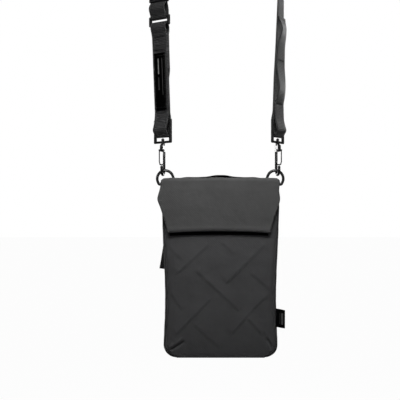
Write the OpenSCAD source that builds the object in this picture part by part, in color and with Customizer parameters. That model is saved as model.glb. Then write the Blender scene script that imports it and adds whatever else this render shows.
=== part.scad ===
// Phone pouch on a webbing shoulder strap: a quilted soft body with a tapered
// front flap, a zipped back pocket, two D rings, two wire-gate swivel hooks
// and a doubled strap with its slider, ring, frames and sewn label.
// X runs across the pouch, Y from front to back, Z up. The origin lies inside
// the top of the strap, where it rests on a shoulder. Millimetres.

/* [Pouch] */
// Width of the pouch across its body
body_w = 120; // [100:1:150]
// Height of the pouch, up to the top of the folded flap
body_h = 188.4; // [160:0.1:220]
// Radius of the two bottom corners
corner_r = 14; // [6:1:24]
// How far each side draws in at the waist
waist_in = 1.7; // [0:0.1:4]
// How far each side flares out at the mouth
mouth_flare = 1.6; // [0:0.1:4]
// Room for the phone, front to back
cavity_d = 10; // [7:0.5:16]
// Thickness of the gusset band round the sides and bottom
gusset_t = 1.2; // [0.8:0.1:2]
// Thickness of the front panel at its seam
front_t = 1; // [0.6:0.1:2]
// How far the padded front panel swells past its seam
front_crown = 2.2; // [0.5:0.1:4]
// Thickness of the back panels
back_t = 1.2; // [0.8:0.1:2]
// Depth of the back pocket between its lining and the back panels
pocket_d = 0.5; // [0.3:0.1:2]
// How far the top of the front panel lies below the top of the flap
front_drop = 10.4; // [6:0.1:16]
// How far the top of the gusset lies below the top of the flap
gusset_drop = 7.4; // [5:0.1:14]

/* [Quilting] */
// Distance between the quilted ridges that lean the same way
quilt_pitch = 57; // [40:1:80]
// Length of each ridge
ridge_l = 54; // [20:1:56]
// Height of a ridge above the panel
ridge_h = 0.9; // [0.3:0.1:1.5]
// Half width of a ridge
ridge_w = 2.6; // [1.5:0.1:5]

/* [Linings and padding] */
// Thickness of the lining cloth
lining_t = 0.6; // [0.3:0.1:1]
// Thickness of the foam behind the front panel
front_foam_t = 1.4; // [1.2:0.1:4]
// Thickness of the foam in front of the back pocket
back_foam_t = 1.2; // [0.8:0.1:4]
// Thickness of the back pocket's lining
pocket_lining_t = 0.3; // [0.2:0.1:0.8]
// Radius of the magnets that hold the flap shut
magnet_r = 7; // [4:0.5:9]
// Thickness of each magnet
magnet_t = 1; // [0.6:0.1:1.1]
// Distance of the magnets above the flap's hem
magnet_up = 16; // [10:1:24]

/* [Flap] */
// Length of the flap from its fold down to its hem
flap_l = 55.8; // [40:0.1:80]
// How much wider than the body the flap is at its top
flap_over_w = 3.4; // [0:0.2:8]
// How much narrower than the body the flap is at its hem
flap_under_w = 12; // [0:1:30]
// How far the flap's sides swell between the fold and the hem
flap_swell = 1.6; // [0:0.1:4]
// Thickness of the flap
flap_t = 2.6; // [1.6:0.1:4]
// How much the hem rises in its middle
hem_rise = 2; // [0:0.1:5]
// Thickness of the dark facing under the flap
facing_t = 1.4; // [1.2:0.1:2]
// How far the facing shows below the hem
facing_show = 4.6; // [2:0.1:8]
// Height of the binding above the flap, at the middle of the back edge
binding_lift = 2.1; // [0.5:0.1:4]
// Thickness of that binding
binding_t = 1; // [0.6:0.1:2]

/* [Zip] */
// Height of the zip above the bottom of the pouch
zip_up = 126; // [60:1:150]
// Height of the gap that shows the zip
zip_open = 9; // [8:0.5:14]
// Distance between the teeth of one row
tooth_pitch = 3.2; // [2:0.1:5]
// Length of the zip's slider
slider_l = 8; // [6:0.5:10]
// Width of the slider
slider_w = 7; // [6.4:0.1:8]
// How far the slider travels from side to side
zip_travel = 100; // [60:1:110]
// Length of the zip's pull
pull_l = 34.5; // [15:0.5:40]
// Width of the pull
pull_w = 5.8; // [3.5:0.1:8]
// Thickness of the pull
pull_t = 1.6; // [1:0.1:1.8]
// Angle at which the pull hangs off to the side
pull_lean = 7; // [0:0.5:12]

/* [D rings and tabs] */
// Radius of the D ring's wire
ring_wire_r = 1.5; // [1:0.1:2]
// Radius of the D ring's arch, to the middle of its wire
ring_r = 8.5; // [7:0.5:12]
// Length of the straight legs below the arch
ring_leg = 4; // [3:0.5:8]
// Angle at which each D ring leans outwards
ring_lean = 22; // [0:1:30]
// How far each arch's centre lies inside the pouch's side
ring_in = 1.3; // [0:0.1:8]
// How far the ring's bar lies below the top of the flap
ring_drop = 4.2; // [3:0.1:10]
// Thickness of the tab that holds the ring
tab_t = 1.2; // [0.8:0.1:2]
// Length of the sewn tab below the ring's bar
tab_l = 21; // [10:1:30]

/* [Hooks] */
// How far each hook's axis lies outside the centre of its D ring
hook_out = 2.5; // [0:0.1:4]
// Radius of the hook's bow, to the middle of its wire
bow_r = 5; // [4.6:0.1:6]
// Radius of the hook's wire
hook_wire_r = 1.5; // [1:0.1:1.7]
// Height of the hook's opening above the middle of its bow
hook_reach = 19.5; // [15:0.5:30]
// Width of the hook's shank
shank_w = 10.4; // [9:0.1:14]
// Height of the shank
shank_h = 7.4; // [5:0.1:12]
// Thickness of the shank
shank_t = 3.4; // [3.2:0.1:5]
// Radius of the wire gate
gate_wire_r = 0.6; // [0.4:0.05:0.8]
// Angle between each hook and the pouch's front
hook_turn = 77; // [55:1:85]
// Radius of the swivel's stem
stem_r = 1.25; // [1:0.05:1.6]
// Radius of the swivel's ball
ball_r = 1.7; // [1.6:0.05:2.4]

/* [Webbing] */
// Width of the webbing
web_w = 20; // [15:0.5:22]
// Thickness of the webbing
web_t = 1.4; // [1:0.1:1.5]
// Distance between two layers of webbing, middle to middle
layer_t = 1.8; // [1.7:0.1:3]
// Height of the strap's straight runs above the hooks' frames
run_l = 226; // [225:1:400]
// Radius of the strap's arch, to the middle of its two layers
arch_r = 66.5; // [55:0.5:120]
// Length of the label strap, from the frame to the ring
label_strap_l = 115; // [100:1:160]
// Distance between the tacks that sew the return layer down
tack_pitch = 45.9; // [35:0.1:60]
// How far the return layer bulges between two tacks
bulge_h = 1.7; // [0:0.1:4]

/* [Strap hardware] */
// Radius of the bars in the frames, ring and slider
bar_r = 1.3; // [1:0.1:1.6]
// Clear width between a frame's sides
bar_clear_w = 20.9; // [20.6:0.1:24]
// How much wider than its bars each side of a frame, ring or slider is
side_more = 1.2; // [0:0.1:2]
// Distance between the outer bars of a hook's frame
frame_h = 23; // [20:0.5:32]
// Height of a frame's middle bar above its bottom bar
frame_mid = 8.2; // [8:0.1:12]
// Distance between the two bars of the strap's ring
strap_ring_h = 8.2; // [8:0.1:14]
// Distance between two bars of the strap's slider
slider_bar_gap = 8; // [7.5:0.1:12]
// Height of the slider below the start of the arch
slider_down = 47; // [35:1:60]
// Height of the keeper above the strap's ring
keeper_up = 23; // [18:1:40]
// Height of the keeper loop
keeper_h = 6; // [4:0.5:12]

/* [Labels] */
// Height of the label on the strap
strap_label_h = 61; // [20:1:70]
// Width of the label on the strap
strap_label_w = 15; // [8:0.5:18]
// Thickness of the labels
label_t = 0.8; // [0.4:0.1:1.2]
// How far the label on the pouch's side stands out
side_label_out = 8.4; // [5:0.1:15]
// Height of the side label
side_label_h = 19.2; // [10:0.1:30]
// Height of the side label's lower edge above the pouch's bottom
side_label_up = 32.6; // [20:0.1:80]
// How far the side label's outer edge droops
side_label_droop = 1.8; // [0:0.1:4]

/* [Hidden] */

$fn = 48;
// Gap between soft pieces on different bodies
soft_gap = 0.35;
// Gap between metal pieces that turn in each other
turn_gap = 0.05;
// How far a cut runs past the face that it opens
over = 1;
// A hair's breadth between pieces that are sewn or laid together
hair = 0.02;

// Depths of the pouch's layers, front negative
front_lining_y = -cavity_d / 2;
front_foam_y = front_lining_y - lining_t;
front_panel_y = front_foam_y - front_foam_t;
front_edge_y = front_panel_y - front_t;
front_face_y = front_edge_y - front_crown;
back_lining_y = cavity_d / 2;
back_foam_y = back_lining_y + lining_t;
pocket_lining_y = back_foam_y + back_foam_t;
back_panel_y = pocket_lining_y + pocket_lining_t + pocket_d;
back_face_y = back_panel_y + back_t;

// The flap's stack and its two fold lines
facing_y = front_face_y - soft_gap;
flap_back_y = facing_y - facing_t;
fold_front_y = flap_back_y - flap_t / 2;
fold_back_y = back_face_y - soft_gap - flap_t / 2;
fold_z = body_h - flap_t / 2;
hem_z = body_h - flap_l;
front_top_z = body_h - front_drop;
gusset_top_z = body_h - gusset_drop;
back_top_z = body_h - flap_t - soft_gap;

// The D rings, in the plane just behind the back panels
ring_x = body_w / 2 - ring_in;
ring_y = back_face_y + tab_t + hair + ring_wire_r;
bar_z = body_h - ring_drop;
arch_centre_z = bar_z + ring_leg * cos(ring_lean);
hook_x = ring_x + hook_out;
ring_wire_z = arch_centre_z + sqrt(ring_r * ring_r - hook_out * hook_out);
ring_corner_r = 2;
tab_play = 1.2;
tab_w = 2 * (ring_r - ring_wire_r) - tab_play;

// The hooks, from the bow up to the swivel's ball
bow_play = 1.05;
bow_z = ring_wire_z - ring_wire_r - bow_play - hook_wire_r + bow_r;
shank_z = bow_z + hook_reach;
shank_top_z = shank_z + shank_h;
nose_h = 4;
shoulder = 0.6;
gate_pin_up = 1.4;
gate_pin_r = 0.75;
gate_drop = 12;
gate_bend = 15.2;
gate_in = 2.6;
collar_h = 1.1;
collar_r = 2.3;
stem_play = 0.3;
boss_z = shank_top_z + collar_h + stem_play;
boss_r = 2.5;
bottom_bar_z = boss_z + bar_r;
boss_top_z = bottom_bar_z + bar_r - stem_play;
ball_z = bottom_bar_z + bar_r + 2 * turn_gap + sqrt(pow(ball_r, 2) - pow(stem_r + turn_gap, 2));
middle_bar_z = bottom_bar_z + frame_mid;
top_bar_z = bottom_bar_z + frame_h;

// The strap's runs above the frames
wrap_gap = 0.3;
wrap_r = bar_r + wrap_gap + web_t / 2;
strap_ring_z = top_bar_z + label_strap_l - strap_ring_h / 2 - (top_bar_z - middle_bar_z) * 0.3;
ring_low_z = strap_ring_z - strap_ring_h / 2;
ring_top_z = strap_ring_z + strap_ring_h / 2;
arch_z = top_bar_z + run_l;
rest_z = arch_z + arch_r - layer_t / 2 - web_t / 2;
slider_z = arch_z - slider_down;
keeper_z = strap_ring_z + keeper_up;
tack_up = 17.7;
tack_z = top_bar_z + tack_up;
layer_n = layer_t / 2;
flap_top_w = body_w + flap_over_w;
flap_hem_w = body_w - flap_under_w;

// Turn of each strap run about the vertical, at shares of the run's length
left_turns = [[0, -47], [0.06, -45], [0.34, -44], [0.42, -40], [0.48, -36], [0.58, -33], [1, -90]];
right_turns = [[0, 58], [0.08, 59], [0.2, 60], [0.35, 66], [0.5, 69], [0.57, 71], [0.8, 85], [1, 90]];

cloth = "#3c3c3d";
flap_cloth = "#474747";
dark_cloth = "#0c0c0c";
lining_cloth = "#26272a";
foam_colour = "#8a8a86";
web_colour = "#2f2f30";
metal = "#1b1b1c";
steel = "#8d9094";

// Everything is laid out from the pouch's bottom and then hung from the rest
module hang() {
    translate([0, -ring_y, -rest_z]) children();
}

// A flat layer of a drawn outline between two depths
module layer(y0, y1) {
    translate([0, y1, 0]) rotate([90, 0, 0]) linear_extrude(y1 - y0) children();
}

function smooth(t) = let (s = max(0, min(1, t))) s * s * (3 - 2 * s);
function unit(v) = v / norm(v);

// Half width of the pouch at height z, without its bottom corners
function flank(z) = body_w / 2 - waist_in * pow(sin(180 * min(1, z / zip_up)), 2)
    + mouth_flare * smooth((z - zip_up * 0.8) / (body_h - zip_up));

// Half width at height z of the outline drawn in by a margin
function side_x(z, margin) = let (r = corner_r - margin, down = max(0, corner_r - z))
    flank(z) - margin - (r - sqrt(max(0, r * r - down * down)));

// Heights of the outline's points, from the bottom up to a given top
corner_steps = 6;
side_steps = 14;
function levels(margin, top) = concat(
    [for (k = [0 : corner_steps]) corner_r - (corner_r - margin) * cos(90 * k / corner_steps)],
    [for (k = [1 : side_steps]) corner_r + (top - corner_r) * k / side_steps]);

module outline(margin, top) {
    z = levels(margin, top);
    last = len(z) - 1;
    polygon(concat([for (k = [0 : last]) [side_x(z[k], margin), z[k]]],
        [for (k = [0 : last]) [-side_x(z[last - k], margin), z[last - k]]]));
}

// A strip of the outline between two heights
module band(margin, low, high) {
    intersection() {
        outline(margin, high);
        translate([-body_w, low]) square([2 * body_w, high - low + over]);
    }
}

// A drawn shape that is a closed grid of points, wrapped along its rows
function grid_faces(rows, cols) = [for (i = [0 : rows - 2], k = [0 : cols - 1])
    let (a = i * cols + k, b = i * cols + (k + 1) % cols) each [[a + cols, b, a], [b + cols, b, a + cols]]];

// Distance from a point to the middle line of a ridge that leans by sign s
function ridge_away(x, z, s) = let (along = (x + s * z) / sqrt(2), across = (x - s * z) / sqrt(2),
    past = max(0, abs(along) - ridge_l / 2)) norm([across, past]);
function nearest_cell(v) = v - quilt_pitch * round(v / quilt_pitch);
quilt_x = -27.5;
quilt_z = 104;
function ridge(x, z) = let (
    up = ridge_away(nearest_cell(x - quilt_x), nearest_cell(z - quilt_z), 1),
    down = ridge_away(nearest_cell(x - quilt_x - quilt_pitch / 2),
        nearest_cell(z - quilt_z - quilt_pitch / 2), -1))
    ridge_h * exp(-pow(min(up, down) / ridge_w, 2));

// Swell of the front panel: full over its middle, none along its seams
function swell(u, z) = (1 - pow(abs(u), 5)) * smooth(z / (2 * corner_r))
    * (1 - 0.4 * smooth((z - hem_z) / (front_top_z - hem_z)));

panel_cols = 36;
panel_rows = 52;
module front_panel() {
    rows = [for (j = [0 : panel_rows]) let (t = j / panel_rows)
        front_top_z * (t < 0.1 ? t * t * 5 + t * 0.5 : t)];
    front = [for (z = rows, i = [0 : panel_cols]) let (u = 2 * i / panel_cols - 1, x = u * side_x(z, 0),
        s = swell(u, z))
        [x, front_edge_y - s * (front_crown - ridge_h) - s * ridge(x, z), z]];
    row = panel_cols + 1;
    rim = concat([for (i = [0 : panel_cols]) i], [for (j = [1 : panel_rows]) j * row + panel_cols],
        [for (i = [1 : panel_cols]) panel_rows * row + panel_cols - i],
        [for (j = [1 : panel_rows - 1]) (panel_rows - j) * row]);
    base = len(front);
    count = len(rim);
    back = [for (k = rim) [front[k][0], front_panel_y, front[k][2]]];
    middle = [[0, front_panel_y, front_top_z / 2]];
    color(cloth) hang() polyhedron(concat(front, back, middle), concat(
        [for (j = [0 : panel_rows - 1], i = [0 : panel_cols - 1]) let (a = j * row + i)
            each [[a + row, a + 1, a], [a + row + 1, a + 1, a + row]]],
        [for (k = [0 : count - 1]) let (n = (k + 1) % count)
            each [[rim[k], rim[n], base + k], [rim[n], base + n, base + k]]],
        [for (k = [0 : count - 1]) [base + k, base + (k + 1) % count, base + count]]));
}

module front_foam() {
    color(foam_colour) hang() difference() {
        layer(front_panel_y, front_foam_y) outline(gusset_t + hair, front_top_z - lining_t);
        at_magnet(front_panel_y - over) cylinder(r = magnet_r + turn_gap, h = over + magnet_t + turn_gap);
    }
}

module front_lining() {
    color(lining_cloth) hang() layer(front_foam_y, front_lining_y) outline(gusset_t + hair, front_top_z);
}

module gusset() {
    color("#303031") hang() layer(front_panel_y, back_panel_y) difference() {
        outline(0, gusset_top_z);
        outline(gusset_t, gusset_top_z + over);
    }
}

module back_panel_upper() {
    color(cloth) hang() layer(back_panel_y, back_face_y) band(0, zip_up + zip_open / 2, back_top_z);
}

module back_panel_lower() {
    color(cloth) hang() layer(back_panel_y, back_face_y) band(0, 0, zip_up - zip_open / 2);
}

// The slot behind the zip that leaves room for the slider's inner plate
module zip_slot() {
    translate([-body_w, zip_up - zip_open / 2]) square([2 * body_w, zip_open]);
}

module back_foam() {
    color(foam_colour) hang() layer(back_foam_y, pocket_lining_y) difference() {
        outline(gusset_t + hair, gusset_top_z);
        intersection() {
            zip_slot();
            outline(1.5 * gusset_t, gusset_top_z);
        }
    }
}

module pocket_lining() {
    color(lining_cloth) hang() layer(pocket_lining_y, pocket_lining_y + pocket_lining_t) difference() {
        outline(gusset_t + hair, gusset_top_z);
        intersection() {
            zip_slot();
            outline(1.5 * gusset_t, gusset_top_z);
        }
    }
}

module back_lining() {
    color(lining_cloth) hang() layer(back_lining_y, back_foam_y) outline(gusset_t + hair, gusset_top_z);
}

// Dark edge of the back, which shows as a low curve above the fold
module top_binding() {
    half = ring_x - tab_w;
    low = fold_z - 3 * flap_t;
    shares = [-1, -0.8, -0.55, -0.3, -0.1, 0.1, 0.3, 0.55, 0.8, 1];
    lift_shares = [0, 0.35, 0.2, 0.55, 1, 1, 0.55, 0.2, 0.35, 0];
    color(dark_cloth) hang() layer(back_face_y, back_face_y + binding_t) polygon(concat(
        [[half, low], [-half, low]],
        [for (k = [0 : len(shares) - 1]) [half * shares[k], body_h + binding_lift * lift_shares[k]]]));
}

// Turns a disc to face back, at the depth where it starts and the magnets' height
module at_magnet(y) {
    translate([0, y, hem_z + magnet_up]) rotate([-90, 0, 0]) children();
}

module body_magnet() {
    color(steel) hang() at_magnet(front_panel_y) cylinder(r = magnet_r, h = magnet_t);
}

module side_label() {
    x = side_x(side_label_up, 0) + hair;
    color(dark_cloth) hang() layer(front_panel_y, front_panel_y + label_t) polygon([
        [x, side_label_up], [x + side_label_out, side_label_up - side_label_droop],
        [x + side_label_out, side_label_up + side_label_h - side_label_droop],
        [x, side_label_up + side_label_h]]);
}

// The strip that bridges the mouth, round where it turns on the back edge
module flap_top() {
    front = fold_front_y + flap_t / 2 + soft_gap;
    color(flap_cloth) hang() translate([-flap_top_w / 2, 0, 0]) rotate([90, 0, 90])
        linear_extrude(flap_top_w) union() {
            translate([front, fold_z - flap_t / 2]) square([fold_back_y - front, flap_t]);
            translate([fold_back_y, fold_z]) circle(d = flap_t);
        }
}

// Half width of the hanging flap at height z
function flap_half(z) = let (t = (fold_z - z) / flap_l)
    flap_top_w / 2 + flap_swell * pow(sin(180 * min(1, t * 1.3)), 2)
    - (flap_top_w - flap_hem_w) / 2 * smooth((t - 0.42) / 0.62);

// One section of the flap at a share u of its half width: up its back, over the fold, down its front
flap_rows = 9;
function flap_section(u) = let (
    hem = hem_z - hem_rise * u * u,
    thin = 1 - 0.55 * pow(abs(u), 8),
    t = flap_t * thin,
    back = [for (k = [0 : flap_rows]) [flap_back_y, hem + (fold_z - hem) * k / flap_rows]],
    r = flap_t / 2,
    top = [for (a = [30 : 30 : 150]) [flap_back_y - r * (1 - cos(a)), fold_z + r * sin(a)]],
    face = [for (k = [0 : flap_rows]) let (s = 1 - k / flap_rows,
        round_in = k == flap_rows ? 0.35 : 0)
        [flap_back_y - flap_t * (s + (1 - s) * thin) * (1 - round_in), hem + (fold_z - hem) * s]])
    [for (p = concat(back, top, face)) [u * flap_half(p[1]), p[0], p[1]]];

module flap_front() {
    shares = [-1, -0.985, -0.95, -0.88, -0.75, -0.55, -0.3, 0, 0.3, 0.55, 0.75, 0.88, 0.95, 0.985, 1];
    points = [for (u = shares) each flap_section(u)];
    cols = len(flap_section(0));
    rows = len(shares);
    last = (rows - 1) * cols;
    color(flap_cloth) hang() polyhedron(points, concat(
        [for (f = grid_faces(rows, cols)) [f[2], f[1], f[0]]],
        [for (k = [1 : cols - 2]) [0, k + 1, k]],
        [for (k = [1 : cols - 2]) [last, last + k, last + k + 1]]));
}

// Outline of the facing: the flap's own shape, a little in from its sides, past its hem
module facing_outline() {
    steps = 12;
    low = hem_z - facing_show;
    high = fold_z - 2 * flap_t;
    margin = 2 * gusset_t;
    side = [for (k = [0 : steps]) let (z = low + (high - low) * k / steps)
        [flap_half(max(z, hem_z)) - margin, z]];
    dip = [for (k = [1 : steps - 1]) let (u = 2 * k / steps - 1)
        [u * side[0][0], low + hem_rise / 2 * (1 - u * u)]];
    polygon(concat(side, [for (k = [0 : steps]) [-side[steps - k][0], side[steps - k][1]]], dip));
}

module flap_facing() {
    color(dark_cloth) hang() difference() {
        layer(flap_back_y, facing_y) facing_outline();
        at_magnet(flap_back_y - over) cylinder(r = magnet_r + turn_gap, h = over + magnet_t + turn_gap);
    }
}

module flap_magnet() {
    color(steel) hang() at_magnet(flap_back_y) cylinder(r = magnet_r, h = magnet_t);
}

// The zip: two tapes, two rows of teeth along the slit between them
slit = 0.8;
tape_t = 0.5;
tape_wide = 8;
tape_y = back_panel_y - tape_t;
tooth_w = 1.5;
tooth_l = 1.1;
tooth_t = 0.7;
tape_end_gap = 0.25;
zip_half = flank(zip_up) - gusset_t - tape_end_gap;
module zip_tape() {
    color("#161616") hang() for (s = [-1, 1]) mirror_z(s)
        translate([-zip_half, tape_y, slit]) cube([2 * zip_half, tape_t, tape_wide - slit]);
}

// Two rows of teeth, half a pitch apart, each on its own cord along the tape's edge
module zip_teeth() {
    count = floor((2 * zip_half - 2 * tooth_pitch) / tooth_pitch);
    color("#202020") hang() for (s = [-1, 1]) mirror_z(s) {
        translate([-zip_half, back_panel_y, slit + tooth_w / 3])
            cube([2 * zip_half, tooth_t / 2, tooth_w / 3]);
        for (k = [0 : count - 1])
            translate([-zip_half + tooth_pitch * (k + 1 + s / 4), back_panel_y, slit])
                cube([tooth_l, tooth_t, tooth_w]);
    }
}

// Turns the upper half of the zip into its lower half
module mirror_z(s) {
    translate([0, 0, zip_up]) mirror([0, 0, s < 0 ? 1 : 0]) children();
}

plate_gap = 0.2;
slider_x = -side_x(zip_up, 0) + slider_l / 2 + plate_gap;
plate_t = 0.8;
plate_y = back_panel_y + tooth_t + plate_gap;
inner_plate_y = tape_y - plate_t - soft_gap;
inner_plate_in = 2.1;
crown_bar_r = 0.7;
crown_lift = 1.65;
crown_y = plate_y + plate_t + crown_lift;
crown_l = 5.4;
crown_x = crown_l / 2 - slider_l / 2;
post_t = 0.9;
sleeve_r = 1.5;
module zip_slider() {
    color(metal) hang() translate([slider_x, 0, zip_up]) {
        translate([-slider_l / 2, plate_y, -slider_w / 2]) cube([slider_l, plate_t, slider_w]);
        translate([inner_plate_in - slider_l / 2, inner_plate_y, -slider_w / 2])
            cube([slider_l - inner_plate_in, plate_t, slider_w]);
        translate([-slider_l / 4, inner_plate_y, -slit * 0.6])
            cube([slider_l / 2, plate_y - inner_plate_y + plate_t / 2, slit * 1.2]);
        for (s = [-1, 1]) {
            translate([-slider_l / 2, tape_y + tape_t + plate_gap,
                s > 0 ? slider_w / 2 - plate_t : -slider_w / 2])
                cube([slider_l, plate_y - tape_y - tape_t, plate_t]);
            translate([crown_x + (s > 0 ? crown_l / 2 - post_t : -crown_l / 2),
                plate_y + plate_t / 2, -post_t])
                cube([post_t, crown_y - plate_y - plate_t / 2 + crown_bar_r * 0.6, 2 * post_t]);
        }
        translate([crown_x - crown_l / 2, crown_y, 0]) rotate([0, 90, 0])
            cylinder(r = crown_bar_r, h = crown_l);
    }
}

module zip_pull() {
    sleeve_l = crown_l - 2 * post_t - 6 * turn_gap;
    end_h = 3;
    color("#1d1d1d") hang() translate([slider_x + crown_x, crown_y, zip_up]) difference() {
        union() {
            rotate([0, 90, 0]) cylinder(r = sleeve_r, h = sleeve_l, center = true);
            rotate([0, pull_lean, 0]) {
                layer(-pull_t / 2, pull_t / 2) polygon([
                    [-sleeve_l / 2 + turn_gap, -crown_bar_r - turn_gap],
                    [sleeve_l / 2 - turn_gap, -crown_bar_r - turn_gap],
                    [sleeve_l / 2, -2 * sleeve_r], [pull_w / 2, -pull_l], [-pull_w / 2, -pull_l],
                    [-sleeve_l / 2, -2 * sleeve_r]]);
                layer(-pull_t * 0.65, pull_t * 0.65) translate([-pull_w / 2 - hair, -pull_l - hair])
                    square([pull_w + 2 * hair, end_h]);
            }
        }
        rotate([0, 90, 0]) cylinder(r = crown_bar_r + turn_gap, h = crown_l, center = true);
    }
}

// Places a D ring or its tab: local X along the bar, local Z towards the arch
module at_ring(s) {
    translate([s * (ring_x - ring_leg * sin(ring_lean)), ring_y, bar_z])
        rotate([0, s * ring_lean, 0]) children();
}

// A quarter bend of wire in the plane of local X and Z, from +X round to +Z
module bend(r, wire_r) {
    rotate([90, 0, 0]) rotate_extrude(angle = 90) translate([r, 0]) circle(r = wire_r);
}

module d_ring(s) {
    straight = ring_r - ring_corner_r;
    color(metal) hang() at_ring(s) {
        translate([-straight, 0, 0]) rotate([0, 90, 0]) cylinder(r = ring_wire_r, h = 2 * straight);
        for (m = [0, 1]) mirror([m, 0, 0]) {
            translate([straight, 0, ring_corner_r]) mirror([0, 0, 1]) bend(ring_corner_r, ring_wire_r);
            translate([ring_r, 0, ring_corner_r]) cylinder(r = ring_wire_r, h = ring_leg - ring_corner_r);
        }
        translate([0, 0, ring_leg]) rotate([90, 0, 0]) rotate_extrude(angle = 180)
            translate([ring_r, 0]) circle(r = ring_wire_r);
    }
}
module left_d_ring() d_ring(-1);
module right_d_ring() d_ring(1);

// A folded tab of tape round the ring's bar, sewn flat on the back panel
module ring_tab(s) {
    outer = ring_wire_r + hair + tab_t;
    flat_y = back_face_y - ring_y;
    color(dark_cloth) hang() at_ring(s) difference() {
        union() {
            rotate([0, 90, 0]) cylinder(r = outer, h = tab_w, center = true);
            translate([-tab_w / 2, flat_y, -tab_l]) cube([tab_w, 2 * tab_t, tab_l]);
            translate([-tab_w / 2, flat_y, -2 * outer]) cube([tab_w, -flat_y + outer / 2, 2 * outer]);
        }
        rotate([0, 90, 0]) cylinder(r = ring_wire_r + hair, h = tab_w + over, center = true);
    }
}
module left_tab() ring_tab(-1);
module right_tab() ring_tab(1);

// Places a hook: local X from its spine to its gate
module at_hook(s) {
    translate([s * hook_x, ring_y, 0]) rotate([0, 0, s < 0 ? 180 + hook_turn : -hook_turn]) children();
}

gate_pin_out = 0.3;
gate_pin_x = bow_r + gate_pin_out;
gate_pin_z = shank_z + gate_pin_up;
module hook(s) {
    color(metal) hang() at_hook(s) difference() {
        union() {
            translate([0, 0, bow_z]) rotate([-90, 0, 0]) rotate_extrude(angle = 180)
                translate([bow_r, 0]) circle(r = hook_wire_r);
            translate([-bow_r, 0, bow_z]) cylinder(r = hook_wire_r, h = hook_reach + hook_wire_r);
            translate([bow_r, 0, bow_z]) cylinder(r = hook_wire_r, h = nose_h - hook_wire_r / 2);
            translate([bow_r, 0, bow_z + nose_h - hook_wire_r / 2]) sphere(r = hook_wire_r);
            layer(-shank_t / 2, shank_t / 2) shank_outline();
            translate([0, 0, shank_top_z - over]) cylinder(r = collar_r, h = collar_h + over);
            translate([0, 0, shank_top_z]) cylinder(r = stem_r, h = ball_z - shank_top_z);
            translate([0, 0, ball_z]) sphere(r = ball_r);
        }
        translate([gate_pin_x, 0, gate_pin_z]) rotate([90, 0, 0])
            cylinder(r = gate_pin_r + turn_gap, h = shank_t + over, center = true);
    }
}

// The shank from the side: square shoulders, round corners, drawn in below its collar
module shank_outline() {
    r = shank_h / 3;
    half = shank_w / 2 + shoulder;
    translate([-half, shank_z]) square([2 * half, shank_h - r]);
    translate([-half + r, shank_z]) square([2 * half - 2 * r, shank_h]);
    for (m = [-1, 1]) translate([m * (half - r), shank_top_z - r]) circle(r = r);
}
module left_hook() hook(-1);
module right_hook() hook(1);

// A wire gate: two legs on one pin, bent in to a cross piece behind the hook's nose
gate_knee_r = 1.06 * gate_wire_r;
module gate(s) {
    reach = shank_t / 2 + gate_wire_r + 2 * turn_gap;
    bend_h = gate_bend - gate_drop;
    slant = norm([gate_in, bend_h]);
    color(metal) hang() at_hook(s) translate([gate_pin_x, 0, gate_pin_z]) {
        rotate([90, 0, 0]) cylinder(r = gate_pin_r, h = 2 * reach, center = true);
        for (m = [-1, 1]) translate([0, m * reach, 0]) {
            translate([0, 0, -gate_drop]) cylinder(r = gate_wire_r, h = gate_drop);
            sphere(r = gate_pin_r * 1.3);
            translate([0, 0, -gate_drop]) sphere(r = gate_knee_r);
            translate([0, 0, -gate_drop]) rotate([0, 180 + atan2(gate_in, bend_h), 0])
                cylinder(r = gate_wire_r, h = slant);
            translate([-gate_in, 0, -gate_bend]) sphere(r = gate_knee_r);
        }
        translate([-gate_in, 0, -gate_bend]) rotate([90, 0, 0])
            cylinder(r = gate_wire_r, h = 2 * reach, center = true);
    }
}
module left_gate() gate(-1);
module right_gate() gate(1);

// A rectangle in the plane of X and Z, standing on height zero: round bars between two broad sides
module bar_rectangle(h) {
    half = bar_clear_w / 2 + bar_r;
    for (m = [0, 1]) mirror([m, 0, 0]) hull() for (x = [half, half + side_more], up = [0, h])
        translate([x, 0, up]) sphere(r = bar_r, $fn = 18);
    for (z = [0, h]) cross_bar(z);
}

module cross_bar(z) {
    half = (bar_clear_w + side_more) / 2 + bar_r;
    translate([0, 0, z]) rotate([0, 90, 0]) cylinder(r = bar_r * 0.96, h = 2 * half, center = true);
}

// The hook's frame: three bars, with the swivel's boss under the lowest
module frame(s, turn) {
    color(metal) hang() translate([s * hook_x, ring_y, bottom_bar_z]) rotate([0, 0, turn]) difference() {
        union() {
            bar_rectangle(frame_h);
            cross_bar(frame_mid);
            translate([0, 0, boss_z - bottom_bar_z]) cylinder(r = boss_r, h = boss_top_z - boss_z);
        }
        translate([0, 0, -2 * bar_r]) cylinder(r = stem_r + turn_gap, h = 4 * bar_r);
    }
}
module left_frame() frame(-1, left_turns[0][1]);
module right_frame() frame(1, right_turns[0][1]);

// The strap's middle line. Distance s runs up the left side, over the arch and down
// the right side; n is the distance outwards from it.
arch_l = PI * arch_r;
run_start_z = top_bar_z;
function run_share(z) = (z - run_start_z) / (arch_z - run_start_z);
function run_x(z) = hook_x + (arch_r - hook_x) * sin(90 * max(0, min(1, run_share(z))));
function turn_at(z, turns) = lookup(run_share(z), turns);
function height_of(s) = s < arch_z ? s : s > arch_z + arch_l ? 2 * arch_z + arch_l - s : arch_z;
function on_left(s) = s < arch_z;
function on_right(s) = s > arch_z + arch_l;
function around(s) = 180 * (s - arch_z) / arch_l;
function out_way(s) = on_left(s) ? let (a = turn_at(s, left_turns)) [sin(a), -cos(a), 0]
    : on_right(s) ? let (a = turn_at(height_of(s), right_turns)) [sin(a), -cos(a), 0]
    : [-cos(around(s)), 0, sin(around(s))];
function wide_way(s) = on_left(s) ? let (a = turn_at(s, left_turns)) [cos(a), sin(a), 0]
    : on_right(s) ? let (a = turn_at(height_of(s), right_turns)) [-cos(a), -sin(a), 0]
    : [0, -1, 0];
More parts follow.
